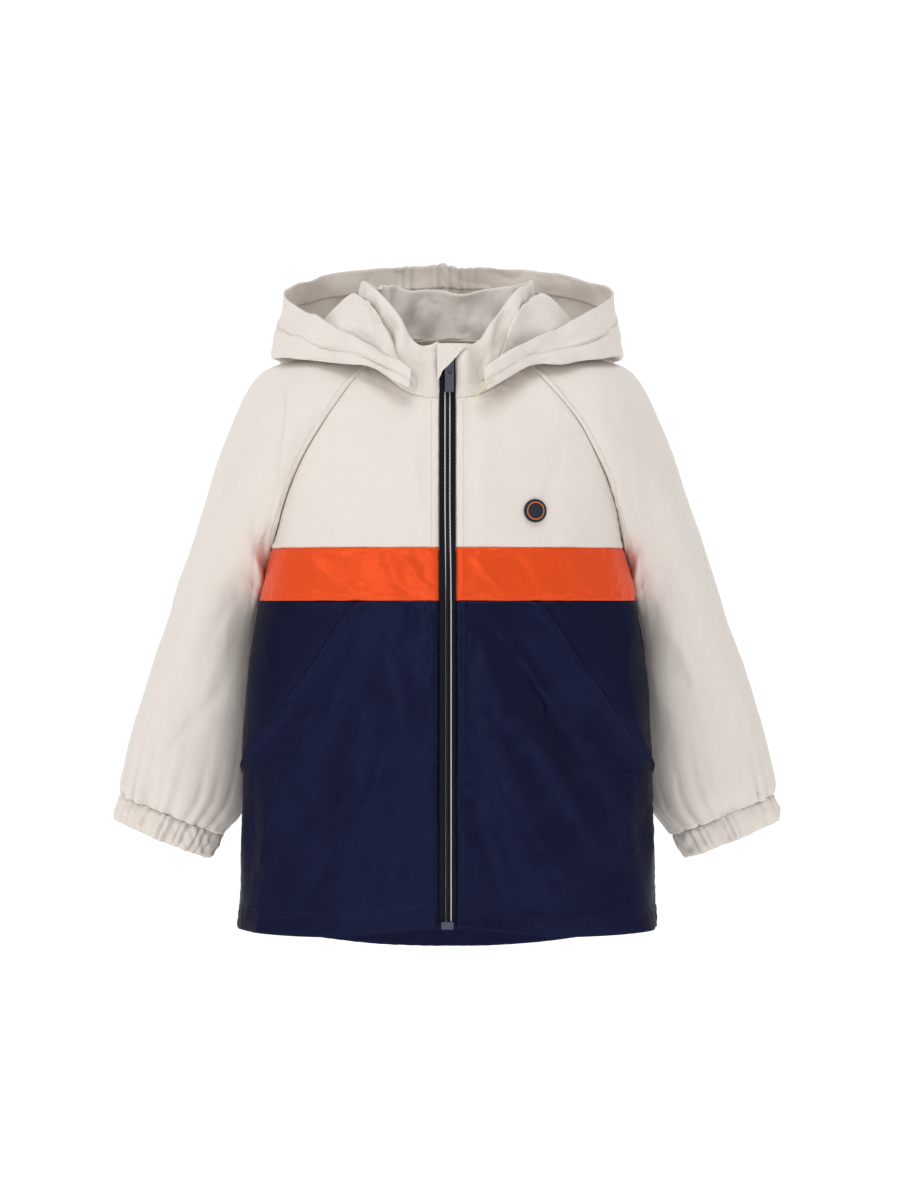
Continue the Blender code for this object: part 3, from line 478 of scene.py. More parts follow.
def add_node(
    tree: bpy.types.NodeTree, kind: str, settings: dict | None = None, links: dict | None = None
) -> bpy.types.Node:
    """Adds one node to a tree.

    Args:
        tree: the material's nodes.
        kind: the node's type name.
        settings: attribute or input name to value.
        links: input name to the socket that feeds it.

    Returns:
        The new node.
    """
    node = tree.nodes.new(kind)
    for key, value in (settings or {}).items():
        if isinstance(key, int) or key in node.inputs:
            node.inputs[key].default_value = value
        else:
            setattr(node, key, value)
    for key, socket in (links or {}).items():
        tree.links.new(socket, node.inputs[key])
    return node


@dataclass(frozen=True)
class Finish:
    """What every finish states: its name, colour, gloss, and the slot of the solids it dresses."""

    name: str
    colour: str
    slot: str
    roughness: float
    metallic: float = 0.0
    specular: float = 0.5

    def make(self) -> bpy.types.Material:
        """Makes the material once."""
        known = bpy.data.materials.get(self.name)
        if known:
            return known
        material = bpy.data.materials.new(self.name)
        material.use_nodes = True
        shader = material.node_tree.nodes["Principled BSDF"]
        shader.inputs["Roughness"].default_value = self.roughness
        shader.inputs["Metallic"].default_value = self.metallic
        shader.inputs["Specular IOR Level"].default_value = self.specular
        self.add_detail(material.node_tree, shader)
        return material

    def add_detail(self, tree: bpy.types.NodeTree, shader: bpy.types.Node) -> None:
        """Adds the nodes that give the finish its tone and relief."""
        raise NotImplementedError


@dataclass(frozen=True)
class Nylon(Finish):
    """Woven nylon: fine threads both ways, uneven in tone; metallic is how far its floats shine."""

    shade: str = "#ffffff"  # the darker tone between slubs
    sheen: float = 0.0
    thread: float = 0.9 * MM  # drawn about three times as coarse as the real weave, so that it shows
    weave: float = 0.04 * MM  # height of the threads
    crumple: float = 0.5 * MM  # height of the small creases
    slubs: Spot = (900.0, 60.0, 1.0)  # slubs per metre across and along
    glint: str = "#ffffff"  # what its highlights are tinted with

    def add_detail(self, tree: bpy.types.NodeTree, shader: bpy.types.Node) -> None:
        """Adds the weave, its slubs and its small creases."""
        shader.inputs["Sheen Weight"].default_value = self.sheen
        shader.inputs["Sheen Roughness"].default_value = 0.45
        shader.inputs["Specular Tint"].default_value = linear(self.glint)
        place = add_node(tree, "ShaderNodeUVMap", {"uv_map": "cloth"}).outputs[0]
        bands = {"wave_type": "BANDS", "Distortion": 0.4, "Detail": 1.0}
        bands["Scale"] = math.pi / (self.thread * 20.0) * 2.0  # one band for each thread
        ways = {}
        for number, way in enumerate("XY"):
            threads = add_node(tree, "ShaderNodeTexWave", bands | {"bands_direction": way}, {0: place})
            ways[number] = threads.outputs["Fac"]
        cloth = add_node(tree, "ShaderNodeMath", {"operation": "MULTIPLY"}, ways)
        long = add_node(tree, "ShaderNodeMapping", {"Scale": self.slubs}, {0: place})
        cloudy = {"Scale": 1.0, "Detail": 2.0, "Roughness": 0.6}
        uneven = add_node(tree, "ShaderNodeTexNoise", cloudy, {0: long.outputs[0]})
        tones = {"data_type": "RGBA", 6: linear(self.shade), 7: linear(self.colour)}
        tone = add_node(tree, "ShaderNodeMix", tones, {0: uneven.outputs["Fac"]})
        tree.links.new(tone.outputs[2], shader.inputs["Base Color"])
        solid = add_node(tree, "ShaderNodeTexCoord").outputs["Object"]
        broken = {"Scale": 70.0, "Detail": 3.0, "Roughness": 0.55, "Distortion": 0.6}
        small = add_node(tree, "ShaderNodeTexNoise", broken, {0: solid})
        creased = {"Strength": 0.55, "Distance": self.crumple}
        creases = add_node(tree, "ShaderNodeBump", creased, {"Height": small.outputs["Fac"]})
        woven = {"Strength": 0.6, "Distance": self.weave}
        under = {"Height": cloth.outputs[0], "Normal": creases.outputs[0]}
        relief = add_node(tree, "ShaderNodeBump", woven, under)
        tree.links.new(relief.outputs[0], shader.inputs["Normal"])


@dataclass(frozen=True)
class Plain(Finish):
    """A hard or thread finish with a fine grain, such as lacquered zinc, moulded nylon or thread."""

    grain: float = 1400.0  # grains per metre
    depth: float = 0.03 * MM  # height of the grain or threads
    bands: float = 0.0  # scale of wound or woven threads; a metre of x, y or z holds 1.6 times as many
    dark: float = 0.75  # how bright the grain's darker tone is

    def add_detail(self, tree: bpy.types.NodeTree, shader: bpy.types.Node) -> None:
        """Adds the grain, or the threads where there are any."""
        solid = add_node(tree, "ShaderNodeTexCoord").outputs["Object"]
        grain = add_node(tree, "ShaderNodeTexNoise", {"Scale": self.grain, "Detail": 2.0}, {0: solid})
        red, green, blue, _ = linear(self.colour)
        dark = (red * self.dark, green * self.dark, blue * self.dark, 1.0)
        tones = {"data_type": "RGBA", 6: dark, 7: linear(self.colour)}
        tone = add_node(tree, "ShaderNodeMix", tones, {0: grain.outputs["Fac"]})
        tree.links.new(tone.outputs[2], shader.inputs["Base Color"])
        height = grain.outputs["Fac"]
        if self.bands:
            wound = {"wave_type": "BANDS", "bands_direction": "DIAGONAL", "Distortion": 0.3}
            threads = add_node(tree, "ShaderNodeTexWave", wound | {"Scale": self.bands}, {0: solid})
            height = threads.outputs["Fac"]
        relief = {"Strength": 0.6, "Distance": self.depth}
        bump = add_node(tree, "ShaderNodeBump", relief, {"Height": height})
        tree.links.new(bump.outputs[0], shader.inputs["Normal"])


# A pale, dull gleam over the whole top of the coat, with faint streaks along the weave
BEIGE = Nylon(
    "beige woven nylon", "#e6ded6", "beige_nylon", 0.55, shade="#dcd3cb", sheen=0.08, crumple=0.6 * MM
)
# A bright stripe, glossier than the beige, whose highlights stay pale orange
ORANGE = Nylon(
    "orange woven nylon",
    "#ec5221",
    "orange_nylon",
    0.31,
    metallic=0.25,
    shade="#e1481b",
    sheen=0.03,
    glint="#ffb090",
)
# A deep blue satin, whose highlights keep to blue and whose sides don't turn milky
NAVY = Nylon(
    "navy satin nylon",
    "#1f223d",
    "navy_nylon",
    0.33,
    metallic=0.6,
    specular=0.1,
    shade="#181a31",
    glint="#2a3480",
)
# The zip: two matt near-black stripes, two fine bright lines, dark ribbing, and dull grey-blue metal
TAPE = Plain("black-navy woven polyester tape", "#15141d", "zip_tape", 0.85, specular=0.15, bands=500.0)
SILVER = Plain("silver lurex yarn", "#f0eeec", "zip_coil", 0.45, bands=450.0, depth=0.1 * MM)
COIL = Plain("dark moulded nylon coil", "#17161e", "zip_coil", 0.45, specular=0.12)
ZINC = Plain("grey-blue lacquered zinc", "#4c4f60", "slider_paint", 0.4, metallic=0.3)
# A small warm tag under the hood
CREAM = Plain("cream cotton tape", "#ece2b8", "cream_tape", 0.75, bands=500.0)
# The badge: a dark disc of fine threads in a thin ring with a warm gleam
COPPER = Plain("copper rayon thread", "#c9753f", "copper_thread", 0.4, metallic=0.2, bands=800.0)
PATCH = Plain("navy embroidered twill", "#171a30", "navy_nylon", 0.7, bands=900.0, depth=0.08 * MM)
# Stitches that show as dotted lines, a little off their cloth's own tone
BEIGE_THREAD = Plain("beige spun polyester thread", "#ded2c5", "beige_nylon", 0.6, bands=900.0)
ORANGE_THREAD = Plain("orange spun polyester thread", "#e8541f", "orange_nylon", 0.6, bands=900.0)
NAVY_THREAD = Plain(
    "navy spun polyester thread", "#1b1f40", "navy_nylon", 0.5, specular=0.25, bands=900.0
)


def show(name: str, mesh: bpy.types.Mesh, finish: Finish) -> bpy.types.Object:
    """Shows a mesh as a smooth piece of the coat, in its finish."""
    mesh.shade_smooth()
    mesh.materials.append(finish.make())
    piece = bpy.data.objects.new(name, mesh)
    bpy.context.collection.objects.link(piece)
    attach(piece, COAT)
    return piece


# Cloth


@dataclass
class Panel:
    """One piece of cloth as a fine grid of points, from its smooth form to its dressed mesh."""

    name: str
    form: Array  # rows by columns of points, rows going up, columns counter-clockwise from above
    finish: Nylon
    ring: bool = False
    flip: bool = False
    sewn: str = ""  # of bottom, top, first and last
    wall: float = 0.7 * MM
    seam_gap: float = 0.12 * MM
    turn_in: float = 0.7 * MM  # how far a sewn edge runs on into its seam
    dip: float = 0.3 * MM
    pucker: float = 0.5 * MM
    doubled: bool = False  # rows go up the outer face, over its edge, and down the inner face
    grid: Array = field(init=False)
    normals: Array = field(init=False)

    def __post_init__(self) -> None:
        """Measures the smooth form."""
        self.grid = self.form.copy()
        self.normals = grid_normals(self.form, self.ring, self.flip)

    def arcs(self) -> tuple[Array, Array]:
        """Gives each point's distance along its row and up its column, in metres."""
        across = np.linalg.norm(np.diff(self.form, axis=1), axis=2)
        up = np.linalg.norm(np.diff(self.form, axis=0), axis=2)
        u = np.concatenate([np.zeros((len(self.form), 1)), np.cumsum(across, axis=1)], axis=1)
        v = np.concatenate([np.zeros((1, self.form.shape[1])), np.cumsum(up, axis=0)], axis=0)
        return u, v

    def edge_distance(self, edge: str) -> Array:
        """Gives each point's distance from a named edge."""
        u, v = self.arcs()
        return {"bottom": v, "top": v[-1:] - v, "first": u, "last": u[:, -1:] - u}[edge]

    def seam_distance(self) -> Array:
        """Gives each point's distance from the nearest sewn edge."""
        away = np.full(self.form.shape[:2], 1.0)
        for edge in self.sewn.split():
            away = np.minimum(away, self.edge_distance(edge))
        return away

    def push(self, out: Array) -> None:
        """Moves the cloth out from its form, by metres; doubled faces go together."""
        move = self.normals * out[..., None]
        if self.doubled:
            outer = move[: len(move) // 2]
            move = np.concatenate([outer, outer[-1:], outer[::-1]])
        self.grid = self.grid + move

    def fold(self, creases: tuple[Crease, ...]) -> None:
        """Draws the cloth in along the creases."""
        self.push(-crease_depth(self.form, self.normals, creases))

    def settle(self, seed: int, soft: float = 1.0) -> None:
        """Adds the seams' dips and puckers and the cloth's small crisp creases.

        Args:
            seed: picks the creases.
            soft: scales their height.
        """
        away = self.seam_distance()
        seam_half, drawn = 1.6 * MM, 9 * MM  # how far a seam dips and draws the cloth beside it
        self.push(-self.dip * hill(away, seam_half))
        tight = np.exp(-away / drawn) * smooth(0.0, 3 * MM, away)
        self.push(self.pucker * tight * ripple(self.form, 8.5 * MM, seed + 1))
        broad = 0.6 * MM * ripple(self.form, 46 * MM, seed + 2, (1.0, 1.0, 1.7))
        crisp = 0.25 * MM * crinkle(self.form, 40 * MM, seed + 3, (1.0, 1.0, 1.5))
        fine = 0.15 * MM * crinkle(self.form, 17 * MM, seed + 4)
        self.push(soft * (broad + crisp + fine) * smooth(0.0, 6 * MM, away))

    def allowance(self, edge: str, wide: float, high: float) -> None:
        """Raises the strip beside a seam that lies on the folded seam allowance."""
        away = self.edge_distance(edge)
        strip = smooth(0.6 * MM, 1.8 * MM, away) * (1 - smooth(wide - 0.8 * MM, wide + 0.4 * MM, away))
        self.push(high * strip)

    def line_at(self, edge: str, away: float, out: float = 0.12 * MM) -> Array:
        """Gives a line on the dressed cloth at a distance from an edge.

        Args:
            edge: the named edge.
            away: distance from it, in metres.
            out: how far the line stands off the cloth.

        Returns:
            The line's points, one per row or column.
        """
        distance = self.edge_distance(edge)
        surface = self.grid + grid_normals(self.grid, self.ring, self.flip) * out
        if edge in ("bottom", "top"):
            distance, surface = distance.T, surface.transpose(1, 0, 2)
        line = []
        for far, points in zip(distance, surface):
            order = slice(None) if far[-1] > far[0] else slice(None, None, -1)
            line.append([np.interp(away, far[order], points[order, k]) for k in range(3)])
        return np.array(line)

    def _tucked(self) -> tuple[Array, Array, Array]:
        """Gives the grid with its sewn edges turned in, and its distances for the weave."""
        layers = [self.grid, grid_normals(self.grid, self.ring, self.flip), *self.arcs()]
        for edge in ("bottom", "top", "first", "last"):
            if edge not in self.sewn.split():
                continue
            grid, *others = [edge_first(layer, edge) for layer in layers]
            inward = -others[0][0]
            along = unit(grid[0] - grid[1])
            edge_row = grid[0] - along * self.seam_gap
            turned = edge_row + along * self.seam_gap * 0.8 + inward * self.turn_in / 2
            under = turned + (along + inward) * self.turn_in
            grid = np.concatenate([[under, turned, edge_row], grid[1:]])
            others = [np.concatenate([[layer[0], layer[0]], layer]) for layer in others]
            layers = [edge_first(layer, edge, back=True) for layer in (grid, *others)]
        grid, _, u, v = layers
        return grid, u, v

    def build(self) -> bpy.types.Object:
        """Makes the mesh with its wall and its finish, standing for the solid of the same name."""
        grid, u, v = self._tucked()
        index = np.arange(grid.shape[0] * grid.shape[1]).reshape(grid.shape[:2])
        if self.ring:
            index = np.concatenate([index, index[:, :1]], axis=1)
            u = np.concatenate([u, 2 * u[:, -1:] - u[:, -2:-1]], axis=1)
            v = np.concatenate([v, v[:, :1]], axis=1)
        quads, weave = corners(index), corners(np.stack([u, v], axis=-1))
        if self.flip:
            quads, weave = quads[..., ::-1], weave[:, :, ::-1]
        mesh = bpy.data.meshes.new(f"{self.name}_cloth")
        mesh.from_pydata(grid.reshape(-1, 3).tolist(), [], quads.reshape(-1, 4).tolist())
        layer = mesh.uv_layers.new(name="cloth")
        layer.data.foreach_set("uv", weave.reshape(-1).astype(np.float32))
        piece = show(f"{self.name}_cloth", mesh, self.finish)
        thick = piece.modifiers.new("wall", "SOLIDIFY")
        thick.thickness = self.wall
        thick.offset = -1.0
        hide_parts(self.name)
        return piece

    def lay(self, held: str, rests_on: list[str], fullness: float = 1.0) -> None:
        """Builds the panel and states the flat size that it was cut to.

        Args:
            held: how the cloth is held; not used.
            rests_on: what it hangs from or lies on; not used.
            fullness: cut width over the width it is gathered to.
        """
        piece = self.build()
        u, v = self.arcs()
        ends = np.concatenate([self.form, self.form[:, :1]], axis=1) if self.ring else self.form
        across = u[:, -1] + (np.linalg.norm(ends[:, -1] - ends[:, -2], axis=1) if self.ring else 0)
        wide, tall = float(across.max()) * fullness, float(v[-1].max())
        one, two = ends[1:, 1:] - ends[:-1, :-1], ends[1:, :-1] - ends[:-1, 1:]
        area = float(np.linalg.norm(np.cross(one, two), axis=2).sum() / 2) * fullness
        area = min(max(area, 0.32 * wide * tall), wide * tall)
        LOG.info("%s: cut %.0f x %.0f mm, %.4f m2", self.name, wide / MM, tall / MM, area)


@dataclass(frozen=True)
class Stitching:
    """Rows of lockstitch: short threads that dip between one hole and the next."""

    pitch: float = 2.7 * MM
    length: float = 2.0 * MM
    thick: float = 0.42 * MM

    def sew(self, name: str, lines: list[Array], finish: Plain) -> None:
        """Sews rows of stitches along lines of points, as one mesh of thread."""
        points: list[Array] = []
        faces: list[tuple[int, ...]] = []
        for line in lines:
            far = lengths(line)
            keep = np.concatenate([[True], np.diff(far) > 1e-7])
            line, far = line[keep], far[keep]
            for start in np.arange(self.pitch / 2, far[-1] - self.pitch, self.pitch):
                at = start + np.array([0.0, 0.25, 0.75, 1.0]) * self.length
                row = np.stack([np.interp(at, far, line[:, k]) for k in range(3)], axis=1)
                self._stitch(row, points, faces)
        mesh = bpy.data.meshes.new(name)
        mesh.from_pydata(np.concatenate(points).tolist(), [], faces)
        show(name, mesh, finish)

    def _stitch(self, row: Array, points: list[Array], faces: list[tuple[int, ...]]) -> None:
        """Adds one stitch: a thread of four sides that thins towards both of its holes."""
        along = unit(row[-1] - row[0])
        side = unit(np.cross(along, (0.0, 0.0, 1.0) if abs(along[2]) < 0.8 else (0.0, 1.0, 0.0)))
        up = np.cross(side, along)
        base = 4 * sum(len(p) // 4 for p in points)
        half = self.thick / 2
        for spot, wide in zip(row, (0.35, 1.0, 1.0, 0.35)):
            points.append(spot + half * wide * np.array([side, up, -side, -up]))
        for a in (base, base + 4, base + 8):
            for j, k in ((0, 1), (1, 2), (2, 3), (3, 0)):
                faces.append((a + j, a + k, a + 4 + k, a + 4 + j))
        faces.append((base + 3, base + 2, base + 1, base))
        faces.append((base + 12, base + 13, base + 14, base + 15))


STITCHES = Stitching()


def gathers(along: Array, spacing: float, seed: int) -> Array:
    """Gives uneven gathers, round on top and sharp in their valleys, from 0 to 1.

    Args:
        along: distance along the gathered edge, in metres.
        spacing: mean distance between two gathers.
        seed: picks how uneven they are.

    Returns:
        The height of the gathers at each place.
    """
    line = np.stack([along, np.zeros_like(along), np.zeros_like(along)], axis=-1)
    warp = 0.9 * ripple(line, spacing * 4.5, seed) + 0.4 * ripple(line, spacing * 1.9, seed + 1)
    high = 0.75 + 0.3 * ripple(line, spacing * 3.1, seed + 2)
    return high * np.abs(np.sin(math.pi * along / spacing + warp)) ** 0.5


# Body


class PocketStep(NamedTuple):
    """A point of the slanted pocket edge: its height, and its place round the body in degrees."""

    z: float
    turn: float


@dataclass
class Fronts:
    """The two fronts: yoke, band, lower front with its slanted pocket, and the pocket's side."""

    stitch_in: float = 5.5 * MM  # from the zip edge to its stitches
    hem_in: float = 18 * MM
    mouth_in: tuple[float, float] = (1.6 * MM, 7.5 * MM)  # from the pocket's edge to its two rows
    pocket: tuple[PocketStep, ...] = (
        PocketStep(-0.1885, 25.0),
        PocketStep(-0.2360, 37.5),
        PocketStep(-0.2780, 52.0),
        PocketStep(-0.3015, 66.0),
        PocketStep(-0.3120, 76.0),
        PocketStep(-0.3230, 86.0),
        PocketStep(-0.3280, 90.0),
    )
    mouth_low: tuple[float, float] = (-0.329, -0.316)  # heights between which its edge comes loose
    mouth_high: tuple[float, float] = (-0.196, -0.189)  # and is held again
    pocket_tuck: float = 9.0  # degrees by which the side piece runs on under the pocket's edge
    under_rows: tuple[float, ...] = (-0.3520, -0.3400, -0.3290, -0.3262)  # and below its lower end
    columns: int = 8
    creases: tuple[Crease, ...] = (
        Crease(-100, -50, -58, -138, 1.1, 9),
        Crease(-30, -60, -14, -140, -0.9, 6),
        Crease(-108, -85, -90, -145, -1.0, 7),
        Crease(-62, -35, -20, -52, 0.9, 7),
        Crease(98, -52, 60, -140, 1.1, 9),
        Crease(30, -60, 24, -145, -0.8, 7),
        Crease(118, -90, 100, -145, -1.0, 7),
        Crease(60, -30, 22, -48, 0.9, 6),
        Crease(-120, -158, -40, -172, 0.7, 8),
        Crease(30, -155, 120, -176, 0.7, 8),
        Crease(-12, -240, -90, -400, -4.6, 19),
        Crease(-30, -195, -110, -300, -2.6, 16),
        Crease(-30, -300, -70, -440, 3.4, 16),
        Crease(-46, -205, -104, -330, 2.4, 13),
        Crease(-60, -330, -120, -440, 2.2, 11),
        Crease(-20, -340, -36, -440, 1.8, 10),
        Crease(14, -205, 115, -380, -4.0, 14),
        Crease(40, -200, 130, -310, 2.8, 14),
        Crease(22, -260, 100, -430, -3.4, 13),
        Crease(24, -200, 100, -300, 1.6, 8),
        Crease(30, -320, 84, -425, -2.6, 11),
        Crease(60, -240, 130, -360, 3.0, 12),
        Crease(16, -330, 44, -440, 2.0, 9),
        Crease(-36, -152, -14, -184, -1.5, 5),
        Crease(-50, -150, -30, -186, 1.4, 5),
        Crease(-110, -153, -70, -184, -1.5, 6),
        Crease(20, -152, 42, -186, -1.5, 5),
        Crease(52, -152, 70, -184, 1.3, 5),
        Crease(90, -152, 112, -185, -1.4, 6),
        Crease(-125, -340, -140, -430, 1.4, 9, Face.ANY),
        Crease(125, -340, 143, -430, 1.4, 9, Face.ANY),
    )

    def turns(self, z: float, end: float = 90.0) -> Array:
        """Gives the turns of a front's columns at one height."""
        return np.linspace(CUT.zip_turn(z), end, self.columns + 1)

    def pocket_turn(self, z: float) -> float:
        """Gives the place round the body of the slanted pocket edge, or the side below it."""
        steps = sorted(self.pocket)
        return float(np.interp(z, [p.z for p in steps], [p.turn for p in steps]))

    def pocket_heights(self) -> list[float]:
        """Gives the heights of the rows beside the pocket edge."""
        marks = [p.z for p in reversed(self.pocket[:-1])]
        halves = [(a + b) / 2 for a, b in zip(marks[2:], marks[3:])]
        return sorted(marks + halves)

    def hem_height(self, turn: Array) -> Array:
        """Gives the height of the front hem, which rises a little at the zip."""
        rise = (CUT.zip_hem - CUT.front_hem) * hill(np.asarray(turn), 16.0)
        return CUT.front_hem + rise

    def yoke_form(self, side: Side) -> Array:
        """Gives the yoke between zip, neck, raglan seam and band, on the right."""
        columns = np.linspace(CUT.neck_zip_turn(), CUT.front_neck_end, self.columns + 1)
        bottom = CUT.body_point(self.turns(CUT.band_top), CUT.band_top)
        zip_edge = spaced(CUT.front_line(), CUT.yoke_rows)
        seam = CUT.raglan(CUT.front_raglan(side), CUT.front_neck_end)
        return panel_between(bottom, CUT.neck_point(columns), zip_edge, seam)

    def band_form(self) -> Array:
        """Gives the band's half on the right."""
        heights = np.linspace(CUT.band_bottom, CUT.band_top, 5)
        return np.array([CUT.body_point(self.turns(z), z) for z in heights])

    def lower_form(self) -> Array:
        """Gives the lower front on the right, whose upper outer edge is the pocket's."""
        low = self.pocket[-1].z
        turns = self.turns(low)
        rows = [
            CUT.body_point(turns, self.hem_height(turns) * (1 - share) + low * share)
            for share in (0.0, 0.08, 0.2, 0.38, 0.54, 0.69, 0.85)
        ]
        heights = (low, *self.pocket_heights())
        rows += [CUT.body_point(self.turns(z, self.pocket_turn(z)), z) for z in heights]
        return np.array(rows)

    def pocket_form(self) -> Array:
        """Gives the pocket's side piece, which runs on under the lower front's edge."""
        rows = []
        for z in (*self.under_rows, *self.pocket_heights()):
            start = min(self.pocket_turn(z), 86.0) - self.pocket_tuck
            points = CUT.body_point(np.linspace(start, 90.0, 9), z)
            deep = 4.5 * MM * (1 - smooth(13 * MM, 27 * MM, lengths(points)))
            deep += 1.8 * MM * smooth(-0.3235, -0.3290, z)
            rows.append(points - unit(points * (1, 1, 0)) * deep[:, None])
        return np.array(rows)

    def build(self) -> None:
        """Builds both fronts and their stitches."""
        for side in Side:
            self.build_side(side)

    def build_side(self, side: Side) -> None:
        """Builds one front."""
        word = side.name.lower()
        near, far = ("first", "last") if side is Side.RIGHT else ("last", "first")
        seed = 100 + 20 * side.value

        def cut(name: str, form: Array, steps: tuple[int, int], finish: Nylon, sewn: str) -> Panel:
            """Cuts one panel for this side, as a grid of so many steps up and across."""
            grid = refined(form, *steps)
            grid = grid if side is Side.RIGHT else mirrored(grid)
            return Panel(f"{name}_{word}", grid, finish, sewn=sewn)

        all_round = f"bottom top {far} {near}"
        yoke = cut("front_yoke", self.yoke_form(side), (84, 78), BEIGE, all_round)
        band = cut("front_band", self.band_form(), (32, 100), ORANGE, all_round)
        lower = cut("front_lower", self.lower_form(), (152, 98), NAVY, f"top {far} {near}")
        pocket = cut("pocket_side", self.pocket_form(), (90, 60), NAVY, "top bottom")
        for panel in (yoke, band, lower, pocket):
            panel.fold(self.creases)
            if panel is lower:
                self.shape_lower(panel, far)
            panel.settle(seed, 1.15 if panel is lower else 1.0)
            if panel is not pocket:
                panel.allowance(near, 8 * MM, 0.5 * MM)
        lower.allowance("bottom", self.hem_in, 0.45 * MM)
        yoke.allowance("bottom", 6 * MM, 0.25 * MM)
        yoke.lay("hung", [f"sleeve_{word}", "collar"])
        band.lay("hung", [f"front_yoke_{word}"])
        lower.lay("hung", [f"front_band_{word}"])
        pocket.lay("hung", [f"front_band_{word}"])
        STITCHES.sew(f"stitches_yoke_{word}", [yoke.line_at(near, self.stitch_in)], BEIGE_THREAD)
        STITCHES.sew(f"stitches_band_{word}", [band.line_at(near, self.stitch_in)], ORANGE_THREAD)
        facing = pocket.line_at(near, 32 * MM)[24:]  # above the rows that lie under the lower front
        rows = [lower.line_at(near, self.stitch_in), lower.line_at("bottom", self.hem_in)]
        rows += [*self.mouth_rows(lower, far), facing]
        STITCHES.sew(f"stitches_lower_{word}", rows, NAVY_THREAD)

    def shape_lower(self, panel: Panel, far: str) -> None:
        """Lifts the pocket's edge off the side piece, and lets the hem roll a little."""
        z = panel.form[..., 2]
        away = panel.edge_distance(far)
        mouth = smooth(*self.mouth_low, z) * (1 - smooth(*self.mouth_high, z))
        roll = 3.0 * MM * hill(away, 9 * MM)
        roll += 0.7 * MM * hill(away, 2.2 * MM)
        panel.push(mouth * roll)
        hem = panel.edge_distance("bottom")
        panel.push(0.9 * MM * hill(hem, 7 * MM) * ripple(panel.form, 45 * MM, 31))
        drawn = np.exp(-((hem / (19 * MM)) ** 4) - ((away / (62 * MM)) ** 2))
        panel.push(1.5 * MM * (gathers(away, 9 * MM, 33) - 0.5) * drawn)

    def mouth_rows(self, lower: Panel, far: str) -> list[Array]:
        """Gives the two rows of stitches along the pocket's edge."""
        rows = []
        for away in self.mouth_in:
            line = lower.line_at(far, away)
            z = line[:, 2]
            rows.append(line[(z > self.pocket[-2].z) & (z < CUT.band_bottom - 1 * MM)])
        return rows


@dataclass
class Back:
    """The back: yoke, band and a longer lower back, gathered by elastic in its hem."""

    columns: int = 14
    hem_in: float = 18 * MM
    gather_spacing: float = 11 * MM
    fullness: float = 1.15
    creases: tuple[Crease, ...] = (
        Crease(-90, -30, -30, -120, 1.3, 10, Face.BACK),
        Crease(85, -30, 36, -125, 1.3, 10, Face.BACK),
        Crease(0, -60, 6, -140, -1.0, 9, Face.BACK),
        Crease(-120, -160, -20, -172, 0.7, 8, Face.BACK),
        Crease(10, -158, 118, -176, 0.7, 8, Face.BACK),
        Crease(-20, -200, -80, -380, -1.8, 13, Face.BACK),
        Crease(30, -200, 90, -390, -1.8, 13, Face.BACK),
        Crease(-110, -220, -120, -420, 1.4, 11, Face.BACK),
        Crease(112, -230, 116, -420, 1.4, 11, Face.BACK),
        Crease(4, -260, -12, -430, 1.3, 11, Face.BACK),
    )

    def yoke_form(self) -> Array:
        """Gives the back yoke, between the two raglan seams."""
        half = self.columns // 2
        bottom = CUT.body_point(np.linspace(180.0, 90.0, half + 1), CUT.band_top)
        top = CUT.neck_point(np.linspace(180.0, CUT.back_neck_end, half + 1))
        line = [bottom[0], *[(p.x, p.y, p.z) for p in CUT.back_levels], top[0]]
        seam = CUT.raglan(CUT.back_raglan, CUT.back_neck_end)
        left = panel_between(bottom, top, spaced(line, CUT.yoke_rows), seam) * (-1, 1, 1)
        return np.concatenate([mirrored(left), left[:, 1:]], axis=1)

    def band_form(self) -> Array:
        """Gives the band across the back."""
        turns = np.linspace(90.0, 270.0, self.columns + 1)
        heights = np.linspace(CUT.band_bottom, CUT.band_top, 5)
        return np.array([CUT.body_point(turns, z) for z in heights])

    def lower_form(self) -> Array:
        """Gives the lower back without its gathers."""
        turns = np.linspace(90.0, 270.0, 25)
        hem = CUT.front_hem - CUT.back_drop * np.sin(np.radians(turns - 90.0)) ** 2
        shares = np.linspace(0.0, 1.0, 13)
        return np.array([CUT.body_point(turns, hem * (1 - t) + CUT.band_bottom * t) for t in shares])

    def build(self) -> None:
        """Builds the back and its stitches."""
        all_round = "bottom top first last"
        yoke = Panel("back_yoke", refined(self.yoke_form(), 84, 120), BEIGE, sewn=all_round)
        band = Panel("back_band", refined(self.band_form(), 30, 180), ORANGE, sewn=all_round)
        lower = Panel("back_lower", refined(self.lower_form(), 130, 220), NAVY, sewn="top first last")
        for panel in (yoke, band, lower):
            panel.fold(self.creases)
        self.gather(lower)
        yoke.settle(61)
        band.settle(62, 0.7)
        lower.settle(63)
        yoke.lay("hung", ["sleeve_left", "sleeve_right", "collar"])
        band.lay("hung", ["back_yoke"])
        lower.lay("gathered", ["back_band"], self.fullness)
        STITCHES.sew("stitches_back_hem", [lower.line_at("bottom", self.hem_in)], NAVY_THREAD)

    def gather(self, lower: Panel) -> None:
        """Gathers the hem over its elastic, in the casing and fading out above it."""
        u = lower.arcs()[0]
        up = lower.edge_distance("bottom")
        ends = smooth(0.0, 0.03, u) * smooth(0.0, 0.03, u[:, -1:] - u)
        fade = np.where(up < self.hem_in, 1.0, np.exp(-(up - self.hem_in) / (26 * MM)))
        fold = gathers(u, self.gather_spacing, 71) - 0.5
        lower.push(3.2 * MM * fold * fade * ends)
        stitched = hill(up - self.hem_in, 2.2 * MM)
        lower.push(-0.9 * MM * stitched)


# Sleeves and cuffs


class Step(NamedTuple):
    """A point of the fold where a sleeve leaves the chest."""

    x: float
    z: float


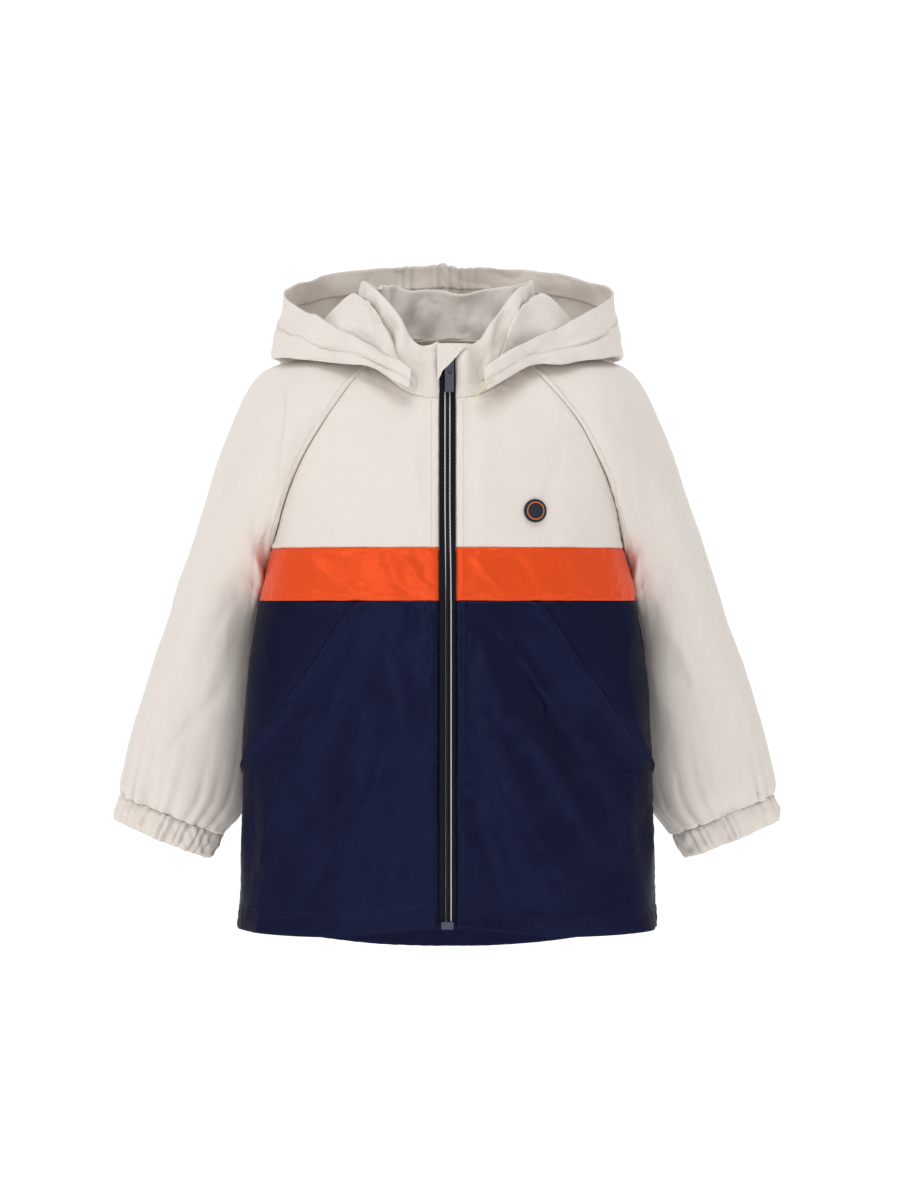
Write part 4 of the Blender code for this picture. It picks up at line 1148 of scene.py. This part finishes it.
@dataclass
class Sleeves:
    """The raglan sleeves, full down to the wrist, and their gathered elastic cuffs."""

    neck_steps: int = 4
    neck_share: float = 0.93
    seam_rings: int = 7
    gather_spacing: float = 6.5 * MM
    rest_z: float = -0.176  # where the sleeve lies against the body
    step_low: tuple[float, float] = (-0.172, -0.140)  # heights between which its long fold begins
    step_high: tuple[float, float] = (-0.030, 0.0)  # and ends
    fullness: float = 1.25
    rings: tuple[ArmRing, ...] = (
        ArmRing(0.1180, 0.0050, 0.1440, 0.004, -0.1540, 0.010, 0.0700, 1.8),
        ArmRing(0.1465, -0.0045, 0.1462, 0.010, -0.1610, 0.016, 0.0630, 1.5),
        ArmRing(0.1660, -0.0330, 0.1480, 0.018, -0.1680, 0.022, 0.0560, 1.2),
        ArmRing(0.1825, -0.0715, 0.1492, 0.027, -0.1755, 0.029, 0.0530, 0.8),
        ArmRing(0.1980, -0.1150, 0.1505, 0.036, -0.1860, 0.036, 0.0490, 0.8),
        ArmRing(0.2135, -0.1600, 0.1520, 0.043, -0.2050, 0.043, 0.0450, 0.8),
        ArmRing(0.2310, -0.2120, 0.1540, 0.050, -0.2450, 0.050, 0.0410, 0.8),
        ArmRing(0.2475, -0.2620, 0.1575, 0.053, -0.2930, 0.053, 0.0380, 0.8),
        ArmRing(0.2595, -0.3025, 0.1615, 0.052, -0.3330, 0.052, 0.0360, 0.8),
        ArmRing(0.2655, -0.3330, 0.1665, 0.050, -0.3580, 0.050, 0.0340, 1.0),
        ArmRing(0.2640, -0.3460, 0.1840, 0.048, -0.3790, 0.048, 0.0240, 1.0),
    )
    cuff_rings: tuple[ArmRing, ...] = (
        rings[-1],
        ArmRing(0.2690, -0.3570, 0.1890, 0.048, -0.3890, 0.048, 0.0245, 1.0),
        ArmRing(0.2705, -0.3665, 0.1950, 0.048, -0.3975, 0.048, 0.0235, 1.0),
    )
    step_line: tuple[Step, ...] = (
        Step(0.1362, -0.150),
        Step(0.1345, -0.126),
        Step(0.1312, -0.085),
        Step(0.1280, -0.050),
        Step(0.1265, -0.030),
        Step(0.1310, -0.010),
    )
    folds: tuple[ArmFold, ...] = (
        ArmFold(-0.075, 62.0, 0.0008, 0.0060, 0.040, 30.0),
        ArmFold(-0.190, 45.0, -0.0005, 0.0034, 0.016, 42.0),
        ArmFold(-0.262, 80.0, 0.0005, 0.0032, 0.014, 46.0),
        ArmFold(-0.215, 300.0, 0.0004, 0.0036, 0.016, 46.0),
        ArmFold(-0.120, 300.0, -0.0006, 0.0050, 0.034, 34.0),
    )
    creases: tuple[Crease, ...] = (
        Crease(-150, -10, -158, -130, -1.2, 9),
        Crease(-150, -60, -190, -190, 1.5, 10),
        Crease(-160, -170, -205, -290, -1.4, 9),
        Crease(-175, -250, -235, -320, 1.3, 8),
        Crease(130, -20, 158, -130, -1.2, 9),
        Crease(150, -60, 185, -200, 1.5, 11),
        Crease(165, -180, 215, -300, -1.4, 10),
        Crease(180, -240, 240, -310, 1.3, 8),
        Crease(-150, -100, -200, -240, 1.6, 11, Face.BACK),
        Crease(150, -100, 200, -240, 1.6, 11, Face.BACK),
    )

    def even_turns(self, count: int) -> Array:
        """Gives equal turns round an arm, in degrees from its low point."""
        return np.arange(count) * 360.0 / count

    def seam_turns(self) -> Array:
        """Gives turns round an arm at the heights of the raglan seams' points."""
        climb = np.arange(CUT.yoke_rows + 1) / CUT.yoke_rows * self.neck_share
        front = np.degrees(np.arccos(1 - 2 * climb))
        neck = np.linspace(front[-1], 360.0 - front[-1], self.neck_steps + 1)
        return np.concatenate([front, neck[1:-1], 360.0 - front[:0:-1]])

    def arm_ring(self, ring: ArmRing, turns: Array) -> Array:
        """Gives an oval of the right sleeve, at turns in degrees from its low point by the front."""
        cosine, sine = np.cos(np.radians(turns)), np.sin(np.radians(turns))
        top, low = np.array([ring.top_x, ring.top_z]), np.array([ring.low_x, ring.low_z])
        middle, half = (top + low) / 2, (top - low) / 2
        below = np.maximum(cosine, 0.0) ** 2
        deep = np.where(cosine > 0, np.abs(sine) ** ring.pinch, np.abs(sine)) * np.sign(sine)
        y = ring.mid_y + (ring.low_y - ring.mid_y) * below - deep * ring.half_depth
        return np.stack([middle[0] - half[0] * cosine, y, middle[1] - half[1] * cosine], axis=-1)

    def armhole(self, side: Side) -> Array:
        """Gives the closed edge where the sleeve meets the yokes and the collar, on the right."""
        front = CUT.raglan(CUT.front_raglan(side), CUT.front_neck_end)
        back = CUT.raglan(CUT.back_raglan, CUT.back_neck_end)[::-1]
        turns = np.linspace(CUT.front_neck_end, CUT.back_neck_end, self.neck_steps + 1)
        return np.concatenate([front, CUT.neck_point(turns)[1:-1], back[:-1]])

    def arm_form(self, side: Side) -> Array:
        """Gives the sleeve from the raglan seams down to the cuff, on the right."""
        start = self.armhole(side)
        start[0] += (0.4 * MM, 0.0, 0.4 * MM)
        rings = [start]
        for i, ring in enumerate(self.rings):
            bunched = max(0.0, 1.0 - i / self.seam_rings)
            turns = bunched * self.seam_turns() + (1 - bunched) * self.even_turns(len(start))
            rings.append(self.arm_ring(ring, turns))
        keys = [0.0]
        for above, below in zip(rings, rings[1:]):
            keys.append(keys[-1] + float(np.linalg.norm(below - above, axis=1).mean()))
        grid = glide(keys, np.array(rings), [keys[0], keys[1] / 2, *keys[1:]])
        turns = self.even_turns(grid.shape[1])
        middle = grid.mean(axis=1, keepdims=True)
        inward = unit(middle - grid)
        depth = np.zeros(grid.shape[:2])
        for fold in self.folds:
            off = (turns - fold.turn + 180.0) % 360.0 - 180.0
            height = (middle[:, :, 2] - fold.z + fold.slant * off) / fold.height
            depth += fold.depth * np.exp(-(height**2) - (off / fold.width) ** 2)
        rows = np.arange(len(grid))
        depth *= np.clip(np.minimum(rows, rows[::-1]), 0, 2)[:, None] / 2
        return grid + inward * depth[:, :, None]

    def build(self) -> None:
        """Builds both sleeves and cuffs and their stitches."""
        for side in Side:
            word = side.name.lower()
            turn = (side.value, 1, 1)
            closed = {"ring": True, "flip": side is Side.RIGHT}
            grid = refined(self.arm_form(side), 180, 126, ring=True) * turn
            arm = Panel(f"sleeve_{word}", grid, BEIGE, sewn="bottom top", **closed)
            arm.fold(self.creases)
            self.meet_body(arm, side)
            self.gather_wrist(arm, 40 + side.value)
            arm.settle(50 + side.value, 1.3)
            arm.allowance("bottom", 7 * MM, 0.8 * MM)
            rings = np.array([self.arm_ring(ring, self.even_turns(48)) for ring in self.cuff_rings])
            grid = refined(rings, 26, 240, ring=True) * turn
            cuff = Panel(f"cuff_{word}", grid, BEIGE, sewn="bottom", **closed)
            self.gather_cuff(cuff, 40 + side.value)
            arm.lay("hung", ["collar", f"front_yoke_{word}", "back_yoke"])
            cuff.lay("gathered", [f"sleeve_{word}"], self.fullness)
            rows = [arm.line_at("bottom", 6.2 * MM), cuff.line_at("bottom", 2.2 * MM)]
            STITCHES.sew(f"stitches_sleeve_{word}", rows, BEIGE_THREAD)

    def meet_body(self, arm: Panel, side: Side) -> None:
        """Rests the sleeve on the body under the arm, and steps it back where it leaves the chest.

        Args:
            arm: the sleeve.
            side: the side it is on; only the left one has the long fold down beside the yoke.
        """
        z = arm.form[..., 2]
        inward = smooth(0.3, 0.8, -arm.normals[..., 0] * side.value)
        arm.push(3.5 * MM * hill(z - self.rest_z, 20 * MM) * inward)
        if side is Side.RIGHT:
            return
        fold = np.interp(z, [p.z for p in self.step_line], [p.x for p in self.step_line])
        past = -arm.form[..., 0] - fold
        drop = smooth(-1.0 * MM, 3.2 * MM, past) * np.exp(-np.maximum(past, 0.0) / (24 * MM))
        drop *= smooth(*self.step_low, z) * (1 - smooth(*self.step_high, z))
        drop *= smooth(0.0, 0.4, -arm.normals[..., 1])
        arm.push(-5.5 * MM * drop * smooth(0.0, 14 * MM, arm.edge_distance("bottom")))

    def gather_wrist(self, arm: Panel, seed: int) -> None:
        """Gathers the end of a sleeve into its cuff."""
        u = arm.arcs()[0]
        around = u / u[:, -1:] * u[-1, -1]
        up = arm.edge_distance("top")
        fade = np.exp(-up / (26 * MM)) * smooth(-1 * MM, 3 * MM, up)
        arm.push(7.5 * MM * (gathers(around, self.gather_spacing * 1.6, seed) - 0.35) * fade)

    def gather_cuff(self, cuff: Panel, seed: int) -> None:
        """Ruches the cuff's casing over its elastic."""
        u = cuff.arcs()[0]
        around = u / u[:, -1:] * u[-1, -1]
        up = cuff.edge_distance("bottom")
        down = cuff.edge_distance("top")
        cuff.push(3.8 * MM * (gathers(around, self.gather_spacing, seed) - 0.45))
        cuff.push(0.5 * MM * ripple(cuff.form, 9 * MM, seed + 5))
        cuff.push(-0.6 * MM * hill(up, 1.8 * MM))
        cuff.push(-0.8 * MM * hill(down, 2.2 * MM))


# Collar and hood


class HoodSection(NamedTuple):
    """The hood in one direction from the neck: its roll, slope, trough, outermost fold and brim."""

    turn: float
    roll_r: float
    roll_z: float
    slope_r: float
    slope_z: float
    trough_r: float
    trough_z: float
    fold_r: float
    fold_z: float
    brim_r: float
    brim_z: float


class TopStep(NamedTuple):
    """A point of the collar's top edge: its place round the neck in degrees, and its height."""

    turn: float
    z: float


@dataclass
class Collar:
    """The soft stand collar: a doubled band that rolls over at its top and gapes at the front."""

    top: tuple[TopStep, ...] = (
        TopStep(0.0, 0.0125),
        TopStep(20.0, 0.0125),
        TopStep(27.0, 0.0190),
        TopStep(35.0, 0.0320),
        TopStep(48.0, 0.0465),
        TopStep(60.0, 0.0565),
        TopStep(75.0, 0.0610),
        TopStep(90.0, 0.0640),
        TopStep(120.0, 0.0650),
        TopStep(180.0, 0.0635),
    )
    thick: float = 2.6 * MM
    bulge: float = 0.03  # how far it rounds out halfway up, as a share of the neck
    lean: float = 0.04  # how far it leans in at its top
    creases: tuple[Crease, ...] = (
        Crease(-52, 30, -37.5, 1, 2.4, 4.5),
        Crease(-44, 36, -29, 8, -1.6, 4.5),
        Crease(-34, 25, -26, -2, 1.3, 3.5),
        Crease(-23, 12, -20, -20, 0.9, 4),
        Crease(50, 42, 33.5, 0, 2.4, 4.5),
        Crease(42, 35, 28, 6, -1.6, 4.5),
        Crease(30, 16, 23.5, -15, 1.2, 4),
        Crease(-15, 60, -6, 25, -1.8, 4, Face.BACK),
        Crease(-38, 62, -26, 28, -1.6, 4, Face.BACK),
        Crease(26, 62, 16, 28, -1.6, 4, Face.BACK),
        Crease(42, 60, 32, 30, 1.4, 4, Face.BACK),
    )

    def form(self) -> Array:
        """Gives the outer face from the neck seam up, the roll at the top, and the inner face."""
        start = CUT.neck_zip_turn()
        turns = np.concatenate([[start], np.linspace(12.0, 348.0, 169), [360.0 - start]])
        folded = np.where(turns > 180.0, 360.0 - turns, turns)
        low = CUT.neck_point(turns) - (0, 0, 0.5 * MM)
        top_z = glide(*zip(*self.top), folded)
        top_z -= 3.2 * MM * hill(turns - 176.0, 24.0) - 0.7 * MM * np.sin(turns / 7.0)
        rows = []
        for share in np.linspace(0.0, 1.0, 22):
            wide = 1 + self.bulge * math.sin(math.pi * share) - self.lean * share
            z = low[:, 2] * (1 - share) + top_z * share
            rows.append(np.stack([low[:, 0] * wide, low[:, 1] * wide, z], axis=-1))
        outer = np.array(rows)
        inward = unit(-outer * (1, 1, 0))
        inner = outer + inward * self.thick
        over = outer[-1] + inward[-1] * self.thick * 0.5 + np.array([0, 0, self.thick * 0.4])
        grid = np.concatenate([outer, [over], inner[::-1]])
        grid[:, 0, 0], grid[:, -1, 0] = CUT.zip_half, -CUT.zip_half
        return grid

    def build(self) -> None:
        """Builds the collar with its puckers."""
        panel = Panel("collar", self.form(), BEIGE, sewn="first last", wall=0.4 * MM, doubled=True)
        panel.fold(self.creases)
        z = panel.form[..., 2]
        soft = smooth(-0.030, 0.010, z)
        panel.push(2.6 * MM * ripple(panel.form, 27 * MM, 81, (1, 1, 1.6)) * soft)
        panel.push(1.2 * MM * crinkle(panel.form, 17 * MM, 82, (1, 1, 2.5)) * soft)
        panel.push(0.6 * MM * crinkle(panel.form, 9 * MM, 86, (1, 1, 2.0)) * soft)
        panel.settle(83, 1.4)
        panel.lay("stretched", ["front_yoke_left", "front_yoke_right", "back_yoke"])


@dataclass
class Hood:
    """The hood, thrown back as a deep bowl behind the collar, with an elastic brim."""

    end: float = 22.0
    seam: float = 150.0
    casing: float = 18 * MM
    brim_roll: float = 0.8 * MM
    brim_thick: float = 1.7 * MM
    brim_radius: float = 0.13  # about how far the back brim is from the neck
    drawn: float = 17.0  # degrees to each side of its middle that its elastic draws in
    fullness: float = 1.05
    tuck: float = 0.012  # how far the panels run on under the brim, as a share of the section
    shares: tuple[float, ...] = (0.0, 0.15, 0.32, 0.50, 0.70, 1.0)
    creases: tuple[Crease, ...] = (
        Crease(-105, 22, -55, 6, 1.6, 5),
        Crease(-120, 40, -80, 18, -1.4, 6),
        Crease(-72, 18, -45, -6, 1.6, 4),
        Crease(-66, 54, -88, 30, 1.8, 3.5),
        Crease(-62, 52, -72, 18, 1.8, 3.5),
        Crease(64, 54, 58, 14, 2.0, 3.5),
        Crease(68, 54, 88, 22, 2.0, 3.5),
        Crease(105, 22, 60, 4, 1.5, 5),
        Crease(122, 40, 80, 16, -1.4, 6),
        Crease(78, 16, 48, -4, 1.6, 4),
    )
    sections: tuple[HoodSection, ...] = (
        HoodSection(22, 0.0672, -0.015, 0.0686, -0.017, 0.0704, -0.0200, 0.0765, -0.0240, 0.0750, -0.0095),
        HoodSection(36, 0.0680, 0.002, 0.0700, -0.003, 0.0720, -0.0095, 0.0785, -0.0145, 0.0765, 0.0030),
        HoodSection(50, 0.0690, 0.034, 0.0710, 0.020, 0.0745, 0.0010, 0.0835, -0.0050, 0.0790, 0.0115),
        HoodSection(68, 0.0715, 0.050, 0.0775, 0.034, 0.0870, 0.0070, 0.1020, -0.0010, 0.0890, 0.0235),
        HoodSection(86, 0.0735, 0.056, 0.0920, 0.042, 0.1120, 0.0150, 0.1350, 0.0055, 0.1080, 0.0380),
        HoodSection(103, 0.0735, 0.056, 0.0990, 0.038, 0.1230, 0.0130, 0.1412, 0.0055, 0.1378, 0.0580),
        HoodSection(122, 0.0715, 0.054, 0.0990, 0.026, 0.1260, -0.0040, 0.1510, 0.0020, 0.1395, 0.0730),
        HoodSection(142, 0.0685, 0.052, 0.0970, 0.004, 0.1250, -0.0480, 0.1560, -0.0200, 0.1380, 0.0835),
        HoodSection(162, 0.0655, 0.050, 0.0965, -0.030, 0.1240, -0.0950, 0.1590, -0.0450, 0.1300, 0.0890),
        HoodSection(180, 0.0645, 0.050, 0.0965, -0.040, 0.1230, -0.1130, 0.1600, -0.0560, 0.1250, 0.0910),
    )

    def section(self, turn: float, shares: Array) -> Array:
        """Gives points of the hood in one direction; shares run from the neck, 0, to the brim, 1."""
        folded = 360.0 - turn if turn > 180.0 else turn
        rows = np.array(self.sections)
        at = glide(rows[:, 0], rows[:, 1:], [folded])[0]
        neck = CUT.neck_point(np.array(folded))
        radius, height = math.hypot(neck[0], neck[1]), float(neck[2])
        marks = np.array([(radius + 3 * MM, height + 4 * MM), *at.reshape(5, 2)])
        keys = np.concatenate([[0.0], np.cumsum(np.linalg.norm(np.diff(marks, axis=0), axis=1) ** 0.5)])
        r, z = glide(keys, marks, np.interp(shares, self.shares, keys)).T
        angle = math.radians(turn)
        return np.stack([r * math.sin(angle), -r * math.cos(angle), z], axis=-1)

    def brim_share(self, turn: float) -> float:
        """Gives where the brim casing starts, as a share of the hood's section."""
        wall = self.section(turn, np.array([self.shares[-2], 1.0]))
        rise = float(np.linalg.norm(wall[1] - wall[0]))
        return 1.0 - (1.0 - self.shares[-2]) * min(self.casing / rise, 0.5)

    def panel_form(self, turns: Array) -> Array:
        """Gives one panel of the hood, without the brim: rows go from the neck outwards."""
        columns = [self.section(t, np.linspace(0.0, self.brim_share(t) + self.tuck, 90)) for t in turns]
        return np.array(columns).transpose(1, 0, 2)

    def brim_form(self, turns: Array) -> Array:
        """Gives the casing along the brim: its outer face, the roll over its edge, its inner face."""
        columns = []
        for turn in turns:
            outer = self.section(turn, np.linspace(self.brim_share(turn), 1.0, 12))
            angle = math.radians(turn)
            inward = np.array([-math.sin(angle), math.cos(angle), 0.0])
            along = unit(outer[-1] - outer[-2])
            over = outer[-1] + inward * self.brim_roll + along * self.brim_roll
            inner = outer[::-1] + inward * self.brim_thick
            columns.append(np.concatenate([outer, [over], inner]))
        return np.array(columns).transpose(1, 0, 2)

    def crumple(self, panel: Panel) -> None:
        """Gives the hood's cloth its soft broken folds, the same on both sides of every seam."""
        away = 1.0 if panel.doubled else smooth(0.0, 12 * MM, panel.edge_distance("bottom"))
        away = away * (1 - 0.75 * smooth(0.1, 0.7, -panel.normals[..., 2]))
        panel.push(1.8 * MM * ripple(panel.form, 44 * MM, 90) * away)
        panel.push(0.9 * MM * crinkle(panel.form, 30 * MM, 91) * away)

    def build(self) -> None:
        """Builds the hood's three panels and its brim, with their stitches."""
        side = np.linspace(self.end, self.seam, 120)
        middle = np.linspace(self.seam, 360.0 - self.seam, 80)
        pieces = {
            "hood_side_right": (side, "last"),
            "hood_center": (middle, "first last"),
            "hood_side_left": (360.0 - side[::-1], "first"),
        }
        lines = []
        for name, (turns, sewn) in pieces.items():
            panel = Panel(name, self.panel_form(turns), BEIGE, sewn=sewn, wall=0.4 * MM)
            panel.fold(self.creases)
            below = panel.edge_distance("top")
            panel.push(-0.25 * MM * (1 - smooth(3 * MM, 8 * MM, below)))  # in under the brim
            self.crumple(panel)
            panel.push(self.brim_gathers(turns) * (1 - smooth(4 * MM, 30 * MM, below)))
            panel.settle(95, 1.2)
            panel.lay("draped", ["collar", "hood_brim"])
            if name == "hood_center":
                lines += [panel.line_at("first", 3 * MM), panel.line_at("last", 3 * MM)]
        turns = np.concatenate([side, middle[1:-1], 360.0 - side[::-1]])
        brim = Panel("hood_brim", self.brim_form(turns), BEIGE, wall=0.4 * MM, doubled=True)
        self.crumple_brim(brim)
        brim.push(self.brim_gathers(turns)[None, :])
        brim.lay("gathered", ["hood_side_left", "hood_side_right", "hood_center"], self.fullness)
        lines += [brim.line_at("bottom", 1.5 * MM), brim.line_at("top", 1.5 * MM)]
        STITCHES.sew("stitches_hood", lines, BEIGE_THREAD)

    def crumple_brim(self, brim: Panel) -> None:
        """Carries the hood's folds on into the brim, whose faces move together."""
        brim.fold(self.creases)
        self.crumple(brim)
        brim.push(np.full(brim.form.shape[:2], 0.3 * MM))

    def brim_gathers(self, turns: Array) -> Array:
        """Gives how far out the elastic in the back brim throws the cloth, at turns round it."""
        strength = np.exp(-(((turns - 180.0) / self.drawn) ** 4))
        folds = gathers(np.radians(turns) * self.brim_radius, 8 * MM, 77) - 0.5
        return 6.0 * MM * folds * strength


# Zip, badge and small pieces


@dataclass
class Zip:
    """The front zip: two tapes with silver yarn lines, a coil between them, slider, tab and box."""

    line_away: float = 1.85 * MM
    line_half: float = 0.42 * MM
    drift: float = 1.2 * MM  # how far the coil wanders to one side towards the hem
    coil_share: float = 0.8  # how much of the drift the lines and turns follow
    pitch: float = 1.5 * MM
    top: float = -0.0118
    low: float = -0.4352

    def middle(self, z: Array) -> Array:
        """Gives how far the zip's middle has wandered at each height."""
        return self.drift * smooth(-0.10, -0.20, z)

    def line(self, sign: int) -> None:
        """Builds one silver line as a low, rounded yarn."""
        heights = np.linspace(self.low, 0.0125, 420)
        middle = self.middle(heights) * self.coil_share + sign * self.line_away
        face = CUT.zip_line(heights)[:, 0] + 0.8 * MM - 0.2 * MM
        twist = 0.06 * MM * np.sin(heights * 2 * math.pi / (2.2 * MM))
        top, foot = face - 0.35 * MM - twist, face + 0.15 * MM
        across = ((-1.0, foot), (-0.5, top), (0.5, top), (1.0, foot))
        columns = [(middle + share * self.line_half, y, heights) for share, y in across]
        grid = np.array(columns).transpose(2, 0, 1)
        index = np.arange(grid.shape[0] * grid.shape[1]).reshape(grid.shape[:2])
        name = f"zip_line_{'right' if sign > 0 else 'left'}"
        mesh = bpy.data.meshes.new(name)
        mesh.from_pydata(grid.reshape(-1, 3).tolist(), [], corners(index).reshape(-1, 4).tolist())
        show(name, mesh, SILVER)

    def teeth(self) -> None:
        """Builds the coil's turns, each a small rounded hump across the middle."""
        bm = bmesh.new()
        heights = np.arange(self.low, self.top, self.pitch)
        angles = np.radians(np.arange(0, 360, 60))
        ring = np.stack([0.42 * MM * np.cos(angles), 0.55 * MM * np.sin(angles)], axis=-1)
        humps = ((-1.2 * MM, 0.35 * MM), (-0.5 * MM, 0.0), (0.5 * MM, 0.0), (1.2 * MM, 0.35 * MM))
        for i, ((y, z), mid) in enumerate(zip(CUT.zip_line(heights), self.middle(heights))):
            shift = mid * self.coil_share + (0.25 if i % 2 else -0.25) * MM
            ends = []
            for x, lift in humps:
                ends.append([bm.verts.new((shift + x, y + lift + b, z + a)) for a, b in ring])
            for one, two in zip(ends, ends[1:]):
                for j in range(6):
                    k = (j + 1) % 6
                    bm.faces.new((one[j], one[k], two[k], two[j]))
            bm.faces.new(ends[0][::-1])
            bm.faces.new(ends[-1])
        bmesh.ops.recalc_face_normals(bm, faces=bm.faces)
        mesh = bpy.data.meshes.new("zip_teeth")
        bm.to_mesh(mesh)
        bm.free()
        show("zip_teeth", mesh, COIL)

    def build(self) -> None:
        """Dresses the zip's solids and adds its lines and teeth."""
        for name in ("zip_tape_left", "zip_tape_right"):
            dress(name, TAPE, 0.0)
        self.line(-1)
        self.line(1)
        dress("zip_coil", COIL, 0.0)
        self.teeth()
        dress("zip_slider", ZINC, 0.45 * MM)
        dress("pull_tab", ZINC, 0.3 * MM)
        dress("zip_box", ZINC, 0.5 * MM)


def dress(node: str, finish: Plain, bevel: float) -> None:
    """Gives a solid its real finish, and rounds its edges by a bevel in metres."""
    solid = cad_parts[node]
    for place in solid.material_slots:
        place.material = finish.make()
    if bevel:
        edge = solid.modifiers.new("rounded", "BEVEL")
        edge.width = bevel
        edge.segments = 3
        edge.limit_method = "ANGLE"
        edge.angle_limit = math.radians(35)
    LOG.info("%s: dressed as %s", node, finish.name)


class Guard(NamedTuple):
    """One level of the chin guard, from its straight edge to its slanting one."""

    z: float
    left: float
    right: float


@dataclass
class Trim:
    """The chin guard, the badge, the neck tape and the end of the hood's zip."""

    guard_out: float = 4.2 * MM
    guard_bend: float = 8.0  # how it bends back towards its far edge, per metre
    levels: tuple[Guard, ...] = (
        Guard(-0.0160, -0.0078, -0.0068),
        Guard(-0.0085, -0.0079, -0.0033),
        Guard(-0.0055, -0.0080, 0.0004),
        Guard(0.0040, -0.0082, 0.0090),
        Guard(0.0122, -0.0082, 0.0170),
    )

    def build(self) -> None:
        """Builds the chin guard and dresses the rest."""
        marks, lefts, rights = zip(*self.levels)
        rows = []
        for z in np.linspace(marks[0], marks[-1], 9):
            x = np.linspace(np.interp(z, marks, lefts), np.interp(z, marks, rights), 7)
            y = CUT.zip_line([z])[0, 0] - self.guard_out + self.guard_bend * np.maximum(x, 0.0) ** 2
            rows.append(np.stack([x, y, np.full(7, z)], axis=-1))
        panel = Panel("chin_guard", refined(np.array(rows), 60, 50), BEIGE, wall=0.9 * MM)
        panel.push(0.12 * MM * ripple(panel.form, 5 * MM, 84, (1, 1, 0.4)))
        panel.lay("folded", ["collar"])
        dress("badge", PATCH, 0.35 * MM)
        dress("badge_ring", COPPER, 0.2 * MM)
        dress("neck_tape", BEIGE_THREAD, 0.0)
        dress("hood_zip_end", CREAM, 0.25 * MM)


# Studio


class Lamp(NamedTuple):
    """A square lamp: where it hangs, how wide it is, and its power in watts."""

    name: str
    spot: Spot
    size: float
    power: float


@dataclass(frozen=True)
class Studio:
    """A plain pale studio: a white sweep, one broad soft key from the upper left, and fills."""

    distance: float = 2.6
    height: float = -0.188
    aside: float = 0.002
    lens: float = 97.6
    floor: float = -0.75
    wall: float = 5.0
    top: float = 7.0
    bend: float = 1.4
    reach: float = 12.0
    glow: float = 0.36
    daylight: float = 0.57
    middle: Spot = (0.0, 0.0, -0.2)
    lamps: tuple[Lamp, ...] = (
        Lamp("key", (-1.9, -1.6, 1.3), 1.3, 8.5),
        Lamp("fill", (-0.9, -3.1, 0.4), 1.1, 7.5),
        Lamp("top", (0.0, -0.9, 2.2), 1.4, 19.0),
    )

    def camera(self) -> None:
        """Sets the camera level with the middle of the coat."""
        data = bpy.data.cameras.new("camera")
        data.lens = self.lens
        data.sensor_width = 36.0
        data.clip_end = 30.0
        camera = bpy.data.objects.new("camera", data)
        camera.location = (self.aside, -self.distance, self.height)
        camera.rotation_euler = (math.radians(90), 0.0, 0.0)
        bpy.context.collection.objects.link(camera)
        bpy.context.scene.camera = camera

    def sweep(self) -> None:
        """Builds the pale floor that curves up into a pale wall."""
        bend, start = self.bend, self.wall - self.bend
        arc = [math.radians(angle) for angle in range(10, 91, 10)]
        profile = [(-self.reach, self.floor), (start, self.floor)]
        profile += [(start + bend * math.sin(a), self.floor + bend * (1 - math.cos(a))) for a in arc]
        profile.append((self.wall, self.top))
        bm = bmesh.new()
        rows = [[bm.verts.new((x, y, z)) for x in (-self.reach, self.reach)] for y, z in profile]
        for low, high in zip(rows, rows[1:]):
            bm.faces.new((low[0], low[1], high[1], high[0]))
        mesh = bpy.data.meshes.new("sweep")
        bm.to_mesh(mesh)
        bm.free()
        mesh.shade_smooth()
        # White paper that glows a little, so that the ground burns out to white as in a studio
        material = bpy.data.materials.new("white paper sweep")
        material.use_nodes = True
        inputs = material.node_tree.nodes["Principled BSDF"].inputs
        inputs["Base Color"].default_value = (0.95, 0.95, 0.95, 1.0)
        inputs["Roughness"].default_value = 0.9
        inputs["Emission Color"].default_value = (1.0, 1.0, 1.0, 1.0)
        inputs["Emission Strength"].default_value = self.glow
        mesh.materials.append(material)
        paper = bpy.data.objects.new("sweep", mesh)
        bpy.context.collection.objects.link(paper)

    def light(self, lamp: Lamp) -> None:
        """Adds a soft square lamp that faces the middle of the coat."""
        data = bpy.data.lights.new(lamp.name, "AREA")
        data.size = lamp.size
        data.energy = lamp.power
        shown = bpy.data.objects.new(lamp.name, data)
        shown.location = lamp.spot
        aim = Vector(self.middle) - Vector(lamp.spot)
        shown.rotation_euler = aim.to_track_quat("-Z", "Y").to_euler()
        bpy.context.collection.objects.link(shown)

    def build(self) -> None:
        """Sets up the camera, the sweep and the lights."""
        self.camera()
        self.sweep()
        for lamp in self.lamps:
            self.light(lamp)
        world = bpy.data.worlds.new("studio")
        world.use_nodes = True
        colour, strength = world.node_tree.nodes["Background"].inputs[:2]
        colour.default_value = (1.0, 1.0, 1.0, 1.0)
        strength.default_value = self.daylight
        bpy.context.scene.world = world
        bpy.context.scene.view_settings.view_transform = "Standard"


def main() -> None:
    """Builds each sub-assembly in order."""
    logging.basicConfig(level=logging.INFO, format="%(message)s")
    for part in (Studio(), Fronts(), Back(), Sleeves(), Collar(), Hood(), Zip(), Trim()):
        part.build()
        LOG.info("built %s", type(part).__name__)


if __name__ == "__main__":
    main()
